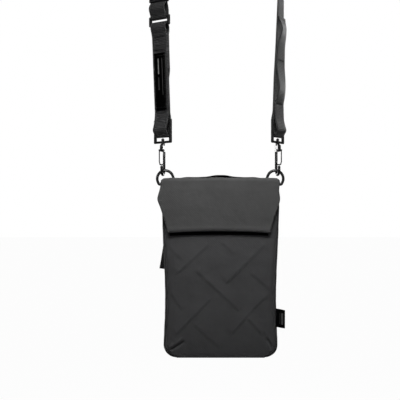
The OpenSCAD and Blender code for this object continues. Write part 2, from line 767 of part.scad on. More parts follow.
function middle_at(s) = on_left(s) ? [-run_x(s), ring_y, s]
    : on_right(s) ? [run_x(height_of(s)), ring_y, height_of(s)]
    : [0, ring_y, arch_z] + arch_r * out_way(s);
function strap_point(p) = middle_at(p[0]) + p[1] * out_way(p[0]);

// A flat band along a route of [s, n] pairs
module ribbon(route, wide, thick) {
    p = [for (q = route) strap_point(q)];
    last = len(p) - 1;
    points = [for (i = [0 : last]) let (
        t = unit(p[min(i + 1, last)] - p[max(i - 1, 0)]),
        n = unit(cross(t, wide_way(route[i][0]))),
        w = unit(cross(n, t)) * wide / 2, h = n * thick / 2)
        each [p[i] + w + h, p[i] - w + h, p[i] - w - h, p[i] + w - h]];
    end = 4 * last;
    polyhedron(points, concat(grid_faces(last + 1, 4),
        [[0, 1, 2], [0, 2, 3], [end + 3, end + 2, end + 1], [end + 3, end + 1, end]]));
}

// Points at even steps from one place on the route to the next, without the first
function stretch(a, b, step) = let (count = max(1, ceil(abs(b[0] - a[0]) / step)))
    [for (k = [1 : count]) a + (b - a) * k / count];

// A half turn round a bar at [s, n], from side +1 or -1 to the other, on the side that way points to
function half_turn(s, n, from, way, r) = [for (a = [0 : 30 : 180])
    [s + way * r * sin(a), n + from * r * cos(a)]];

straight_step = 13;
// Distances along the strap: from each loop to where its layers meet, and of its tails
merge = 9;
slider_tail = 24;
tail_l = 36;
cut_down = 12.7;
strap_label_up = 11;
// The label strap: from its cut end at the back, round the frame, up the front, round the ring
module label_strap() {
    cut_z = ring_low_z - cut_down;
    under_z = cut_z - tail_l;
    front_low = top_bar_z + merge;
    color(web_colour) hang() ribbon(concat(
        [[cut_z, -layer_n - layer_t]],
        stretch([cut_z, -layer_n - layer_t], [under_z - over, -layer_n - layer_t], straight_step),
        stretch([under_z - over, -layer_n - layer_t], [under_z - merge, -layer_n], straight_step),
        stretch([under_z - merge, -layer_n], [front_low, -layer_n], straight_step),
        [[top_bar_z + bar_r, -wrap_r]],
        half_turn(middle_bar_z, 0, -1, -1, wrap_r),
        [[top_bar_z + bar_r, wrap_r], [front_low, layer_n]],
        stretch([front_low, layer_n], [ring_low_z - merge, layer_n], straight_step),
        half_turn(ring_low_z, 0, 1, 1, wrap_r),
        [[ring_low_z - merge, -layer_n]],
        stretch([ring_low_z - merge, -layer_n], [under_z + over, -layer_n], straight_step)),
        web_w, web_t);
}

module strap_label() {
    low = top_bar_z + strap_label_up;
    n = layer_n + web_t / 2 + label_t / 2 + soft_gap;
    color(dark_cloth) hang() ribbon(concat([[low, n]],
        stretch([low, n], [low + strap_label_h, n], straight_step)), strap_label_w, label_t);
}

module strap_ring() {
    color(metal) hang() translate(middle_at(strap_ring_z)) rotate([0, 0, turn_at(strap_ring_z, left_turns)])
        translate([0, 0, -strap_ring_h / 2]) bar_rectangle(strap_ring_h);
}

// Where things lie along the strap
slider_s = 2 * arch_z + arch_l - slider_z;
slider_n = bar_r + soft_gap;
loop_s = slider_s - slider_bar_gap;
frame_top_s = 2 * arch_z + arch_l - top_bar_z;
frame_mid_s = 2 * arch_z + arch_l - middle_bar_z;
return_l = 2 * tack_pitch;
tack_s = 2 * arch_z + arch_l - tack_z;
function bulge(k, count) = layer_n + bulge_h * pow(sin(360 * k / count), 2);

// The long strap, in one piece: from its sewn tail on the slider, over the arch, round the
// ring, back over the arch, through the slider, round the right frame and up its own outside
module long_strap() {
    third = layer_n + layer_t;
    loop_in = slider_n - wrap_r;
    loop_out = slider_n + wrap_r;
    under = loop_in - layer_t;
    hump = slider_n + bar_r + wrap_gap + web_t / 2;
    steps = 12;
    color(web_colour) hang() ribbon(concat(
        [[loop_s - slider_tail, layer_n], [loop_s - merge, layer_n]],
        half_turn(loop_s, slider_n, -1, 1, wrap_r),
        [[loop_s - merge, third], [loop_s - slider_tail - over, third],
            [loop_s - slider_tail - merge, layer_n]],
        stretch([loop_s - slider_tail - merge, layer_n], [arch_z + arch_l, layer_n], straight_step),
        stretch([arch_z + arch_l, layer_n], [arch_z, layer_n], straight_step / 1.5),
        stretch([arch_z, layer_n], [ring_top_z + merge, layer_n], straight_step),
        half_turn(ring_top_z, 0, 1, -1, wrap_r),
        [[ring_top_z + merge, -layer_n]],
        stretch([ring_top_z + merge, -layer_n], [arch_z, -layer_n], straight_step),
        stretch([arch_z, -layer_n], [arch_z + arch_l, -layer_n], straight_step / 1.5),
        stretch([arch_z + arch_l, -layer_n], [loop_s - merge, -layer_n], straight_step),
        [[loop_s - bar_r, under], [loop_s + bar_r, under + over / 2]],
        [for (a = [-60 : 30 : 60]) [slider_s + (bar_r + wrap_gap + web_t / 2) * sin(a) * 1.3,
            slider_n + (hump - slider_n) * cos(a)]],
        [[slider_s + slider_bar_gap - bar_r, -layer_n / 2], [slider_s + slider_bar_gap + bar_r, -layer_n]],
        stretch([slider_s + slider_bar_gap + bar_r, -layer_n], [frame_top_s - merge, -layer_n],
            straight_step),
        [[frame_top_s - bar_r, -wrap_r]],
        half_turn(frame_mid_s, 0, -1, 1, wrap_r),
        [[frame_top_s - bar_r, wrap_r], [frame_top_s - merge, layer_n + 0.4 * bulge_h]],
        [for (k = [0 : steps]) [tack_s - return_l * k / steps, bulge(k, steps)]]),
        web_w, web_t);
}

module strap_slider() {
    color(metal) hang() translate(strap_point([slider_s, slider_n]))
        rotate([0, 0, turn_at(slider_z, right_turns)]) translate([0, 0, -slider_bar_gap]) {
            bar_rectangle(2 * slider_bar_gap);
            cross_bar(slider_bar_gap);
        }
}

// A sewn loop of tape that keeps the layers together above the ring
keeper_play = 1;
keeper_t = 1.1;
module strap_keeper() {
    room_w = web_w + keeper_play;
    room_t = 2 * layer_n + web_t + keeper_play;
    color(dark_cloth) hang() translate(middle_at(keeper_z)) rotate([0, 0, turn_at(keeper_z, left_turns)])
        difference() {
            cube([room_w + 2 * keeper_t, room_t + 2 * keeper_t, keeper_h], center = true);
            cube([room_w, room_t, keeper_h + over], center = true);
        }
}

front_panel();
front_foam();
front_lining();
gusset();
back_panel_upper();
back_panel_lower();
back_foam();
back_lining();
pocket_lining();
top_binding();
body_magnet();
side_label();
flap_top();
flap_front();
flap_facing();
flap_magnet();
zip_tape();
zip_teeth();
zip_slider();
zip_pull();
left_tab();
right_tab();
left_d_ring();
right_d_ring();
left_hook();
right_hook();
left_gate();
right_gate();
left_frame();
right_frame();
label_strap();
strap_label();
strap_ring();
long_strap();
strap_slider();
strap_keeper();
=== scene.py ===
"""Phone pouch on a webbing shoulder strap: cloth, webbing, stitching, finishes, light and camera."""
import math

import bmesh
import bpy
import numpy as np
from bpy.props import FloatProperty, FloatVectorProperty, IntProperty, PointerProperty
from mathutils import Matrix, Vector, noise


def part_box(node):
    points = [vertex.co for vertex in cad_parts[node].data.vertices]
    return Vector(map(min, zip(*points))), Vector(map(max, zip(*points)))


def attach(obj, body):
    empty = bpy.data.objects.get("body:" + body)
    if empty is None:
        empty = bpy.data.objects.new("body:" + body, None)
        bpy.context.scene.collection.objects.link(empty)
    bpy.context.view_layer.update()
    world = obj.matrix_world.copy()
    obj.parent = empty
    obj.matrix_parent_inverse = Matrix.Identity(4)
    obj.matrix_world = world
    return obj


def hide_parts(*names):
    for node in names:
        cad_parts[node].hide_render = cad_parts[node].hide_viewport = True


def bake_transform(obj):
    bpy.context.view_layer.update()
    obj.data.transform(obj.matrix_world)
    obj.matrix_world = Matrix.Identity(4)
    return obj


bl_info = {
    "name": "Phone Pouch",
    "version": (1, 0, 0),
    "blender": (4, 5, 0),
    "location": "3D View > Sidebar > Pouch",
    "description": "Builds the cloth, webbing, stitching and finishes of a phone pouch round its solid frame",
    "category": "Object",
}

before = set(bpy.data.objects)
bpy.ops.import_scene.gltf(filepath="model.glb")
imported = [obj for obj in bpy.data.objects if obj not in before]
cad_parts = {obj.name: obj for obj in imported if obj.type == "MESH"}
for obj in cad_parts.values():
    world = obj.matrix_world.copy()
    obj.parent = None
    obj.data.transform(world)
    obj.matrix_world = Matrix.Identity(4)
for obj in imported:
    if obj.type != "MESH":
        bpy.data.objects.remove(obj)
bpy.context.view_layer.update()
MM = 0.001


def box_mm(node):
    low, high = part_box(node)
    return np.array(low) / MM, np.array(high) / MM


# Everything below is laid out in millimetres from the middle of the pouch's bottom, as the solids are
BASE = np.array([0, (box_mm("front_lining")[1][1] + box_mm("back_lining")[0][1]) / 2, box_mm("gusset")[0][2]])
RING_Y = -BASE[1]

# Heights, from the solids
TOP_Z = box_mm("flap_front")[1][2] - BASE[2]
FRONT_TOP_Z = box_mm("front_panel")[1][2] - BASE[2]
GUSSET_TOP_Z = box_mm("gusset")[1][2] - BASE[2]
BACK_TOP_Z = box_mm("back_panel_upper")[1][2] - BASE[2]
FLAP_T = 2.6
FOLD_Z = TOP_Z - FLAP_T / 2
# How far the near-black facing reaches below the flap's hem, as a band of painted shadow
SHADOW_BAND_DROP = 4.6
HEM_Z = box_mm("flap_facing")[0][2] - BASE[2] + SHADOW_BAND_DROP

# Depths of the layers, front negative
LINING_Y = 5
FOAM_Y = 5.6
SEAM_Y = -6.7
BACK_PANEL_Y = 7.6
BACK_FACE_Y = 8.8
FACING_Y = -10.55
FLAP_BACK_Y = -11.95
FOLD_FRONT_Y = -13.25
FOLD_BACK_Y = 7.15

# The pouch's outline, its zip and its linings
BODY_W = 120
CORNER_R = 14
WAIST_IN = 1.7
MOUTH_FLARE = 1.6
ZIP_UP = 126
ZIP_OPEN = 9
ZIP_X = -56.372
LINING_IN = 1.35
LINING_LOW_Z = 1.4
CROWN_X = ZIP_X - 1.3
CROWN_Y = 10.95

# The flap: its back root runs up over a bend, across the top and down over a second bend
FLAP_ROOT = 4
FOLD_BEND = 2.2
FLAP_L = 55.8
FLAP_TOP_W = 123.4
FLAP_HEM_W = 107
FLAP_SWELL = 1.6
FLAP_DENT_Z = 167

# The rings, hooks and frames
RING_X = 58.7
RING_LEAN = 22
RING_BAR_Z = 184.2
TAB_W = 12.8
TAB_L = 21
TAB_R = 2.12
HOOK_X = 61.2
TOP_BAR_Z = 249.583
MIDDLE_BAR_Z = 234.783
BAR_R = 1.3

# The strap
WEB_W = 20
WEB_T = 1.4
LAYER_PITCH = 1.8
ARCH_R = 66.5
ARCH_Z = TOP_BAR_Z + 226
ARCH_L = math.pi * ARCH_R
RING_LOW_Z = 351.943
RING_TOP_Z = 360.143
SLIDER_Z = ARCH_Z - 47
KEEPER_Z = 379.043
LEFT_TURNS = ((0, -43), (0.06, -39.5), (0.34, -39), (0.42, -37), (0.48, -36), (0.58, -33), (1, -90))
RIGHT_TURNS = ((0, 58), (0.08, 57.5), (0.2, 57), (0.35, 62), (0.5, 65), (0.57, 67), (0.78, 85), (1, 90))

# Ridges of the quilting: x and height of both ends, at the places that the front shows, then the same
# basket-weave lattice under the flap
QUILT = (
    (-44.2, 91.5, -15.4, 117.6), (6.9, 81.3, 43.4, 117.6), (-44.9, 28.6, -13.8, 60.8), (12.1, 28.6, 43.4, 63.4),
    (-22.8, 90.8, 17.5, 53.0), (-56.8, 76.5, -41.2, 54.7), (-53.6, 117.6, -41.0, 105.5), (4.0, 120.0, 12.6, 111.6),
    (34.6, 87.8, 55.4, 70.1), (30.5, 41.0, 44.5, 26.0), (-24.5, 34.5, -2.5, 14.0),
    (-46.0, 150.0, -9.0, 187.0), (8.6, 150.0, 45.6, 187.0), (-19.0, 157.0, -4.0, 142.0), (34.0, 154.0, 56.0, 128.0),
)
# Lamps: name, the panel's value for their power, size in metres, spread in degrees, height that they aim at, and
# place from there in metres
LAMPS = (("key", "key", 0.3, 42, 225, (0, -0.4, 0.47)), ("front", "front", 0.5, 180, 175, (-0.08, -0.9, 0.3)),
         ("back_left", "back", 0.4, 60, 120, (-0.42, 0.86, 0.25)),
         ("back_right", "back", 0.4, 60, 120, (0.42, 0.86, 0.25)))
# Waves of the loose front cloth: size of the lumps in millimetres, and their share
LUMPS = ((34, 0.6), (15, 0.28), (6, 0.1))
# Share of the front's swell that is even padding; the rest is blown cloth
PADDED = 0.72
# How far the loose front cloth is larger than its frame, and where the front cloth starts
SLACK = 0.008
FRONT_LOW_Z = 0.4
# Cloth simulation: its frames and the size of its cells
CLOTH_FRAMES = 20
CLOTH_CELL = 3.2
# Tucks at the two lower corners: both ends, then how deep the cloth folds in
TUCKS = ((-50.2, 10.2, -40.0, 17.0, 2.3), (48.8, 19.0, 52.8, 12.2, 1.9), (44.0, 26.0, 47.5, 20.5, 0.4),
         (-53.5, 21.0, -47.0, 14.5, 0.3))


def linear(code):
    """An sRGB hex colour as linear red, green and blue."""
    parts = [int(code[i:i + 2], 16) / 255 for i in (1, 3, 5)]
    return tuple(p / 12.92 if p <= 0.04045 else ((p + 0.055) / 1.055) ** 2.4 for p in parts)


def length(name, text, default_mm):
    return FloatProperty(name=name, description=text, default=default_mm * MM, unit="LENGTH", subtype="DISTANCE")


def colour(name, text, code):
    return FloatVectorProperty(name=name, description=text, default=linear(code), subtype="COLOR", size=3,
                               min=0, max=1)


class PouchShape(bpy.types.PropertyGroup):
    """Sizes of the cloth that the solids leave open."""

    crown: length("Front crown", "How far the padded front swells past its seam", 6.2)
    ridge: length("Ridge height", "Height of the quilted ridges", 0.8)
    seam_inset: length("Seam inset", "How far the front seam lies inside the pouch's side", 2.6)
    wrinkle: length("Wrinkle", "Height of the loose cloth's wrinkles", 0.6)
    flap_puff: length("Flap puff", "How far the flap's middle swells", 0.9)
    cloth_pitch: length("Cloth threads", "Distance between two threads of the pouch's cloth", 0.9)


class StrapShape(bpy.types.PropertyGroup):
    """Sizes of the webbing and the stitching."""

    rib_pitch: length("Rib pitch", "Distance between two ribs of the webbing", 1.65)
    rib_height: length("Rib height", "How far a rib stands out of the webbing", 0.24)
    stitch_pitch: length("Stitch pitch", "Distance from one stitch to the next", 2.6)
    stitch_length: length("Stitch length", "Length of the thread that shows in one stitch", 1.9)
    thread: length("Thread", "Thickness of the sewing thread", 0.42)
    tooth_pitch: length("Tooth pitch", "Distance between two teeth of one row of the zip", 1.6)


class PouchColours(bpy.types.PropertyGroup):
    """Colours of the finishes."""

    body: colour("Body cloth", "Colour of the pouch's cloth", "#414142")
    # The flap's lighter shade of the body's nylon is painted light, for the brighter light on the flap
    flap: colour("Flap cloth", "Colour of the flap's cloth", "#4c4c4c")
    # The gusset's darker shade of the same nylon is painted shade on the pouch's sides
    gusset: colour("Gusset cloth", "Colour of the cloth round the pouch's sides", "#333334")
    # The facing's near-black also paints the shadow under the flap's hem
    facing: colour("Facing", "Colour of the flap's facing and the bindings", "#040404")
    lining: colour("Lining", "Colour of the linings", "#2a2b2e")
    webbing: colour("Webbing", "Colour of the strap's webbing", "#222223")
    plastic: colour("Plastic", "Colour of the moulded frames", "#161617")
    metal: colour("Metal", "Colour of the lacquered hooks and rings", "#1a1a1b")
    thread: colour("Thread", "Colour of the sewing thread", "#1c1c1d")
    stripe: colour("Stripe", "Colour of the plain stripes on the labels", "#b9b9b9")


class StageShape(bpy.types.PropertyGroup):
    """Camera and light."""

    distance: FloatProperty(name="Camera distance", description="From the camera to the pouch's middle",
                            default=0.85, unit="LENGTH", subtype="DISTANCE")
    lens: FloatProperty(name="Lens", description="Focal length of the camera, in millimetres", default=72.7)
    key: FloatProperty(name="Key light", description="Power of the gridded soft lamp above the pouch's front, in watts",
                       default=0.4)
    front: FloatProperty(name="Front light", description="Power of the large lamp beside the camera, in watts",
                         default=0.9)
    back: FloatProperty(name="Back lights", description="Power of each of the two lamps behind the pouch, in watts",
                        default=0.42)
    fill: FloatProperty(name="Sky light", description="Strength of the even light from all round", default=0.06)
    seed: IntProperty(name="Seed", description="Seed of the cloth's wrinkles", default=7)


# ---- Shapes ----


def put(name, data):
    """An object with the given data, in the scene."""
    obj = bpy.data.objects.new(name, data)
    bpy.context.scene.collection.objects.link(obj)
    return obj


def smooth(t):
    """0 below 0, 1 above 1, and eased between."""
    s = np.clip(t, 0, 1)
    return s * s * (3 - 2 * s)


def flank(z):
    """Half width of the pouch at height z, without its bottom corners."""
    return (BODY_W / 2 - WAIST_IN * np.sin(np.pi * np.clip(z / ZIP_UP, 0, 1)) ** 2
            + MOUTH_FLARE * smooth((z - ZIP_UP * 0.8) / (TOP_Z - ZIP_UP)))


def side_x(z, margin):
    """Half width at height z of the outline drawn in by a margin."""
    r = CORNER_R - margin
    down = np.maximum(0, CORNER_R - z)
    return flank(z) - margin - (r - np.sqrt(np.maximum(0, r * r - down * down)))


def flap_half(z):
    """Half width of the hanging flap at height z."""
    t = (FOLD_Z - z) / FLAP_L
    return (FLAP_TOP_W / 2 + FLAP_SWELL * np.exp(-((t - 0.36) / 0.13) ** 2)
            - (FLAP_TOP_W - FLAP_HEM_W) / 2 * smooth((t - 0.36) / 0.66))


def flap_shift(z):
    """How far the flap hangs askew at height z."""
    return -0.5 - 1.4 * smooth((FOLD_Z - z) / 16)


def ripple(x, z, scale, seed):
    """Smooth noise between -1 and 1 at each point, with lumps of the given size."""
    return np.array([noise.noise(Vector((a / scale, b / scale, seed * 3.7)))
                     for a, b in zip(np.ravel(x), np.ravel(z))]).reshape(np.shape(x))


def segment(x, z, ends):
    """Distance past each end of a line, and signed distance above it, at each point."""
    x0, z0, x1, z1 = ends
    long = math.hypot(x1 - x0, z1 - z0)
    dx, dz = (x1 - x0) / long, (z1 - z0) / long
    along = (x - x0) * dx + (z - z0) * dz
    above = -(x - x0) * dz + (z - z0) * dx
    past = np.maximum(0, np.maximum(-along, along - long))
    return past, above


def quilting(x, z):
    """Height of the quilted ridges: a slow rise from above, and a steep drop below each line."""
    up = np.zeros_like(x)
    for ends in QUILT:
        past, above = segment(x, z, ends)
        fade = np.exp(-(past / 3.2) ** 2)
        high = np.where(above > 0, np.exp(-(np.abs(above) / 6.5) ** 1.3), np.exp(-(above / 3.0) ** 2))
        dip = 0.4 * np.exp(-((above + 4.0) / 2.5) ** 2)
        up = np.maximum(up, fade * high) - fade * dip
    return up


def tucks(x, z):
    """Depth of the folds at the lower corners."""
    down = np.zeros_like(x)
    for x0, z0, x1, z1, deep in TUCKS:
        past, above = segment(x, z, (x0, z0, x1, z1))
        fold = np.exp(-(above / 1.4) ** 2) - 0.5 * np.exp(-((above - 3.0) / 1.8) ** 2)
        down += deep * np.exp(-(past / 2.2) ** 2) * fold
    return down


def lay(points):
    """Millimetres from the pouch's bottom, as metres in the shared frame."""
    return (np.asarray(points, float) + BASE) * MM


def unit(vectors):
    """Each row as a vector of length 1."""
    return vectors / np.linalg.norm(vectors, axis=1)[:, None]


def run_along(path):
    """Distance of each point from the path's start."""
    return np.concatenate([[0], np.cumsum(np.linalg.norm(np.diff(path, axis=0), axis=1))])


def grid_faces(rows, cols):
    """Faces of a grid of points that stand row after row."""
    return [(a, a + 1, a + cols + 1, a + cols) for j in range(rows - 1) for a in range(j * cols, j * cols + cols - 1)]


def sheet_faces(rows, cols):
    """Faces of a closed sheet: a grid of points, the same grid behind it, and the rim that joins them."""
    back = rows * cols
    faces = [face for a, b, c, d in grid_faces(rows, cols)
             for face in ((a, b, c, d), (back + a, back + d, back + c, back + b))]
    rim = (list(range(cols)) + [j * cols + cols - 1 for j in range(1, rows)]
           + [(rows - 1) * cols + i for i in range(cols - 2, -1, -1)] + [j * cols for j in range(rows - 2, 0, -1)])
    return faces + [(a, back + a, back + b, b) for a, b in zip(rim, rim[1:] + rim[:1])]


def tube_faces(count, ring):
    """Faces of a closed tube: rings of points one after another, and a cap on each end."""
    last = (count - 1) * ring
    sides = [(i * ring + k, i * ring + (k + 1) % ring, (i + 1) * ring + (k + 1) % ring, (i + 1) * ring + k)
             for i in range(count - 1) for k in range(ring)]
    return sides + [tuple(range(ring))[::-1], tuple(range(last, last + ring))]


def blown_sheet(half, low, high, slack, puff, seed):
    """Cloth simulation of a loose sheet, sewn down all round and blown forwards. Gives how far its grid of rows
    and columns swells, in millimetres."""
    rows, cols = (round(size / CLOTH_CELL) + 1 for size in (high - low, 2 * float(half((low + high) / 2))))
    z = np.linspace(low, high, rows)
    x_grid = np.linspace(-1, 1, cols)[None, :] * half(z)[:, None]
    z_grid = np.repeat(z[:, None], cols, 1)
    start = 0.25 * ripple(x_grid, z_grid, 11, seed)
    mesh = bpy.data.meshes.new("blown_sheet")
    places = np.stack([x_grid.ravel(), start.ravel(), z_grid.ravel()], 1) * MM
    mesh.from_pydata([tuple(p) for p in places], [], grid_faces(rows, cols))
    sheet = put("blown_sheet", mesh)
    sewn_down = [j * cols + i for j in range(rows) for i in range(cols) if j in (0, rows - 1) or i in (0, cols - 1)]
    sheet.vertex_groups.new(name="sewn").add(sewn_down, 1.0, "REPLACE")
    mod = sheet.modifiers.new("Blow", "CLOTH")
    cloth = mod.settings
    cloth.quality = 8
    cloth.effector_weights.gravity = 0
    cloth.use_pressure = True
    cloth.uniform_pressure_force = puff
    cloth.vertex_group_mass = "sewn"
    cloth.shrink_min = -slack
    cloth.bending_stiffness = 0.5
    for step in range(1, CLOTH_FRAMES + 1):
        bpy.context.scene.frame_set(step)
    graph = bpy.context.evaluated_depsgraph_get()
    found = np.zeros(rows * cols * 3)
    sheet.evaluated_get(graph).to_mesh().vertices.foreach_get("co", found)
    bpy.data.objects.remove(sheet)
    bpy.data.meshes.remove(mesh)
    bpy.context.scene.frame_set(1)
    return -found.reshape(rows, cols, 3)[..., 1] / MM


def sample(grid, across, up):
    """A smooth surface over a coarse grid, at places from 0 to 1 across and up it."""
    last_row, last_col = grid.shape[0] - 1, grid.shape[1] - 1
    row, col = up * last_row, across * last_col
    row0, col0 = np.floor(row).astype(int), np.floor(col).astype(int)
    out = np.zeros(np.shape(across))

    def shares(f):
        """Weights of the four nearest rows or columns, by a cubic B-spline."""
        return ((1 - f) ** 3 / 6, (3 * f ** 3 - 6 * f ** 2 + 4) / 6, (3 * f + 3 * f ** 2 - 3 * f ** 3 + 1) / 6,
                f ** 3 / 6)

    for i, a in enumerate(shares(row - row0)):
        for k, b in enumerate(shares(col - col0)):
            out += a * b * grid[np.clip(row0 - 1 + i, 0, last_row), np.clip(col0 - 1 + k, 0, last_col)]
    return out


def new_piece(name, points, faces, material, uv):
    """A mesh object from points in millimetres, with the cloth's own flat coordinates in metres."""
    mesh = bpy.data.meshes.new(name)
    mesh.from_pydata([tuple(p) for p in lay(points)], [], [tuple(int(i) for i in f) for f in faces])
    layer = mesh.uv_layers.new(name="cloth")
    corners = np.zeros(len(mesh.loops), int)
    mesh.loops.foreach_get("vertex_index", corners)
    layer.data.foreach_set("uv", (np.asarray(uv, float)[corners] * MM).ravel())
    mesh.polygons.foreach_set("use_smooth", [True] * len(mesh.polygons))
    mesh.materials.append(material)
    obj = put(name, mesh)
    point_outwards(obj)
    return obj


def point_outwards(obj):
    """Turns every face of a closed mesh outwards."""
    bm = bmesh.new()
    bm.from_mesh(obj.data)
    bmesh.ops.recalc_face_normals(bm, faces=bm.faces)
    if bm.calc_volume(signed=True) < 0:
        bmesh.ops.reverse_faces(bm, faces=bm.faces)
    bm.to_mesh(obj.data)
    bm.free()


def apply_modifiers(obj):
    """Turns the evaluated object into its plain mesh and clears its modifiers."""
    bpy.context.view_layer.update()
    graph = bpy.context.evaluated_depsgraph_get()
    mesh = bpy.data.meshes.new_from_object(obj.evaluated_get(graph), depsgraph=graph)
    obj.modifiers.clear()
    old, obj.data = obj.data, mesh
    bpy.data.meshes.remove(old)
    return obj


def soften(obj):
    """Adds one finishing level of Subdivision Surface and applies it."""
    mod = obj.modifiers.new("Soften", "SUBSURF")
    mod.levels = mod.render_levels = 1
    return apply_modifiers(obj)


def slab(name, half, rows, cols, front, back, material):
    """A closed cloth panel between two depths. half gives its half width at a height; front and back
    give the depths at x and height, and meet in a round rim."""
    u = np.sin(np.linspace(-1, 1, cols) * np.pi / 2) * 0.5 + np.linspace(-1, 1, cols) * 0.5
    z = np.asarray(rows, float)
    x_grid = u[None, :] * half(z)[:, None]
    z_grid = np.repeat(z[:, None], cols, 1)
    points = np.concatenate([np.stack([g.ravel() for g in (x_grid, depth(x_grid, z_grid), z_grid)], 1)
                             for depth in (front, back)])
    return new_piece(name, points, sheet_faces(len(z), cols), material, uv=points[:, [0, 2]])


def edge_fade(x, z, half, low, high, reach, bottom=1):
    """0 on a panel's rim, rising to 1 over the given reach inside it, or over that by a share at its bottom."""
    inside = np.minimum(half(z) - np.abs(x), np.minimum((z - low) / bottom, high - z))
    return np.sqrt(1 - (1 - np.clip(inside / reach, 0, 1)) ** 2)


def even_rows(low, high, count, corner=0):
    """Heights from low to high, closer together near a round lower corner."""
    t = np.linspace(0, 1, count)
    if corner:
        t = np.where(t < 0.15, t * t / 0.15 * 0.75 + t * 0.25, t)
    return low + (high - low) * t


def tape(name, path, across, width, thick, material):
    """A flat band with rounded edges along a path. across gives its width's direction at each point."""
    path = np.asarray(path, float)
    along = unit(np.gradient(path, axis=0))
    face = unit(np.cross(along, across))
    wide = np.cross(face, along)
    half_w, half_t = width / 2, thick / 2
    round_in = 0.35 * thick
    section = [(-half_w, 0), (-half_w + 0.3 * round_in, half_t * 0.75), (-half_w + 1.6 * round_in, half_t),
               (-half_w / 3, half_t), (half_w / 3, half_t),
               (half_w - 1.6 * round_in, half_t), (half_w - 0.3 * round_in, half_t * 0.75), (half_w, 0)]
    section += [(w, -t) for w, t in section[-2:0:-1]]
    points = np.concatenate([[p + w * a + t * f for a, t in section] for p, w, f in zip(path, wide, face)])
    flat = np.array([(run, a) for run in run_along(path) for a, t in section])
    return new_piece(name, points, tube_faces(len(path), len(section)), material, uv=flat)


def even_path(path, across, step, blur=0):
    """The path at even steps, with its corners eased over the blur's length."""
    path, across = np.asarray(path, float), np.asarray(across, float)
    run = run_along(path)
    keep = np.concatenate([[True], np.diff(run) > 1e-6])
    run, path, across = run[keep], path[keep], across[keep]
    fine = 0.25
    at = np.linspace(0, run[-1], int(run[-1] / fine) + 1)
    path, across = (np.stack([np.interp(at, run, v[:, k]) for k in range(3)], 1) for v in (path, across))
    if blur:
        reach = int(3 * blur / fine)
        weights = np.exp(-0.5 * (np.arange(-reach, reach + 1) * fine / blur) ** 2)
        weights /= weights.sum()
        for values in (path, across):
            padded = np.concatenate([2 * values[0] - values[reach:0:-1], values,
                                     2 * values[-1] - values[-2:-reach - 2:-1]])
            values[:] = np.stack([np.convolve(padded[:, k], weights, "valid") for k in range(3)], 1)
    every = max(1, round(step / fine))
    pick = np.unique(np.append(np.arange(0, len(at), every), len(at) - 1))
    return path[pick], unit(across)[pick]


# ---- The strap's route ----


def turn_at(z, turns):
    """Turn of a strap round its length, in degrees."""
    share = (z - TOP_BAR_Z) / (ARCH_Z - TOP_BAR_Z)
    return np.interp(share, [t[0] for t in turns], [t[1] for t in turns])


def run_x(z):
    """How far out the strap runs at height z."""
    share = min(1, max(0, (z - TOP_BAR_Z) / (ARCH_Z - TOP_BAR_Z)))
    return HOOK_X + (ARCH_R - HOOK_X) * math.sin(math.pi / 2 * share)


def strap_place(s):
    """Middle of the strap, its outward and its width's direction, at distance s up the left side, over the arch
    and down the right side."""
    if ARCH_Z <= s <= ARCH_Z + ARCH_L:
        turn = math.pi * (s - ARCH_Z) / ARCH_L
        out = np.array([-math.cos(turn), 0, math.sin(turn)])
        return np.array([0, RING_Y, ARCH_Z]) + ARCH_R * out, out, np.array([0, -1.0, 0])
    side, z, turns = (-1, s, LEFT_TURNS) if s < ARCH_Z else (1, END_S - s, RIGHT_TURNS)
    a = math.radians(turn_at(z, turns))
    return (np.array([side * run_x(z), RING_Y, z]), np.array([math.sin(a), -math.cos(a), 0]),
            np.array([-side * math.cos(a), -side * math.sin(a), 0]))


def strap_path(route):
    """Points and width directions of a route of (s, n) pairs, or of (s, n, lean) where one edge lifts off."""
    path, across = [], []
    for s, n, *lean in route:
        middle, out, wide = strap_place(s)
        a = math.radians(sum(lean))
        path.append(middle + n * out)
        across.append(math.cos(a) * wide + math.sin(a) * out)
    return path, across


def stretch(*corners, step=4):
    """Points at even steps along straight lines from each corner to the next."""
    route = [corners[0]]
    for a, b in zip(corners, corners[1:]):
        count = max(1, math.ceil(abs(b[0] - a[0]) / step))
        route += [(a[0] + (b[0] - a[0]) * k / count, a[1] + (b[1] - a[1]) * k / count) for k in range(1, count + 1)]
    return route


def half_turn(s, n, start, way, r):
    """Half a circle round a bar."""
    return [(s + way * r * math.sin(math.radians(a)), n + start * r * math.cos(math.radians(a)))
            for a in range(0, 181, 15)]


LAYER_N = LAYER_PITCH / 2
WRAP_R = BAR_R + 0.3 + WEB_T / 2
MERGE = 9
TACK_PITCH = 45.9
TACK_Z = TOP_BAR_Z + 17.7
END_S = 2 * ARCH_Z + ARCH_L
SLIDER_S = END_S - SLIDER_Z
SLIDER_N = BAR_R + 0.35
SLIDER_GAP = 8
LOOP_S = SLIDER_S - SLIDER_GAP
TAIL = 24
CUT_Z = RING_LOW_Z - 12.7
UNDER_Z = CUT_Z - 36


def bulge(k, count):
    """The loose return layer: its lower bulge hangs near the lower tack, its upper one near the upper.
    Gives how far it stands off and how it leans."""
    share = 2 * k / count
    share = share ** 0.7 if share <= 1 else (share - 1) ** 2
    lift = math.sin(math.pi * share) ** 2
    return LAYER_N + 3.1 * lift, 8 * lift


def over_frame(above):
    """The loose front of a loop: it bellies out over the frame's middle bar and runs in above the top bar."""
    return [(MIDDLE_BAR_Z + 1.0, WRAP_R + 0.7), (MIDDLE_BAR_Z + 4.0, WRAP_R + 2.7), (MIDDLE_BAR_Z + 5.5, WRAP_R + 2.8),
            (MIDDLE_BAR_Z + 9, WRAP_R + 1.7), (TOP_BAR_Z - 1.5, WRAP_R + 0.5), (TOP_BAR_Z + 2.5, WRAP_R - 0.3),
            (TOP_BAR_Z + MERGE, above)]


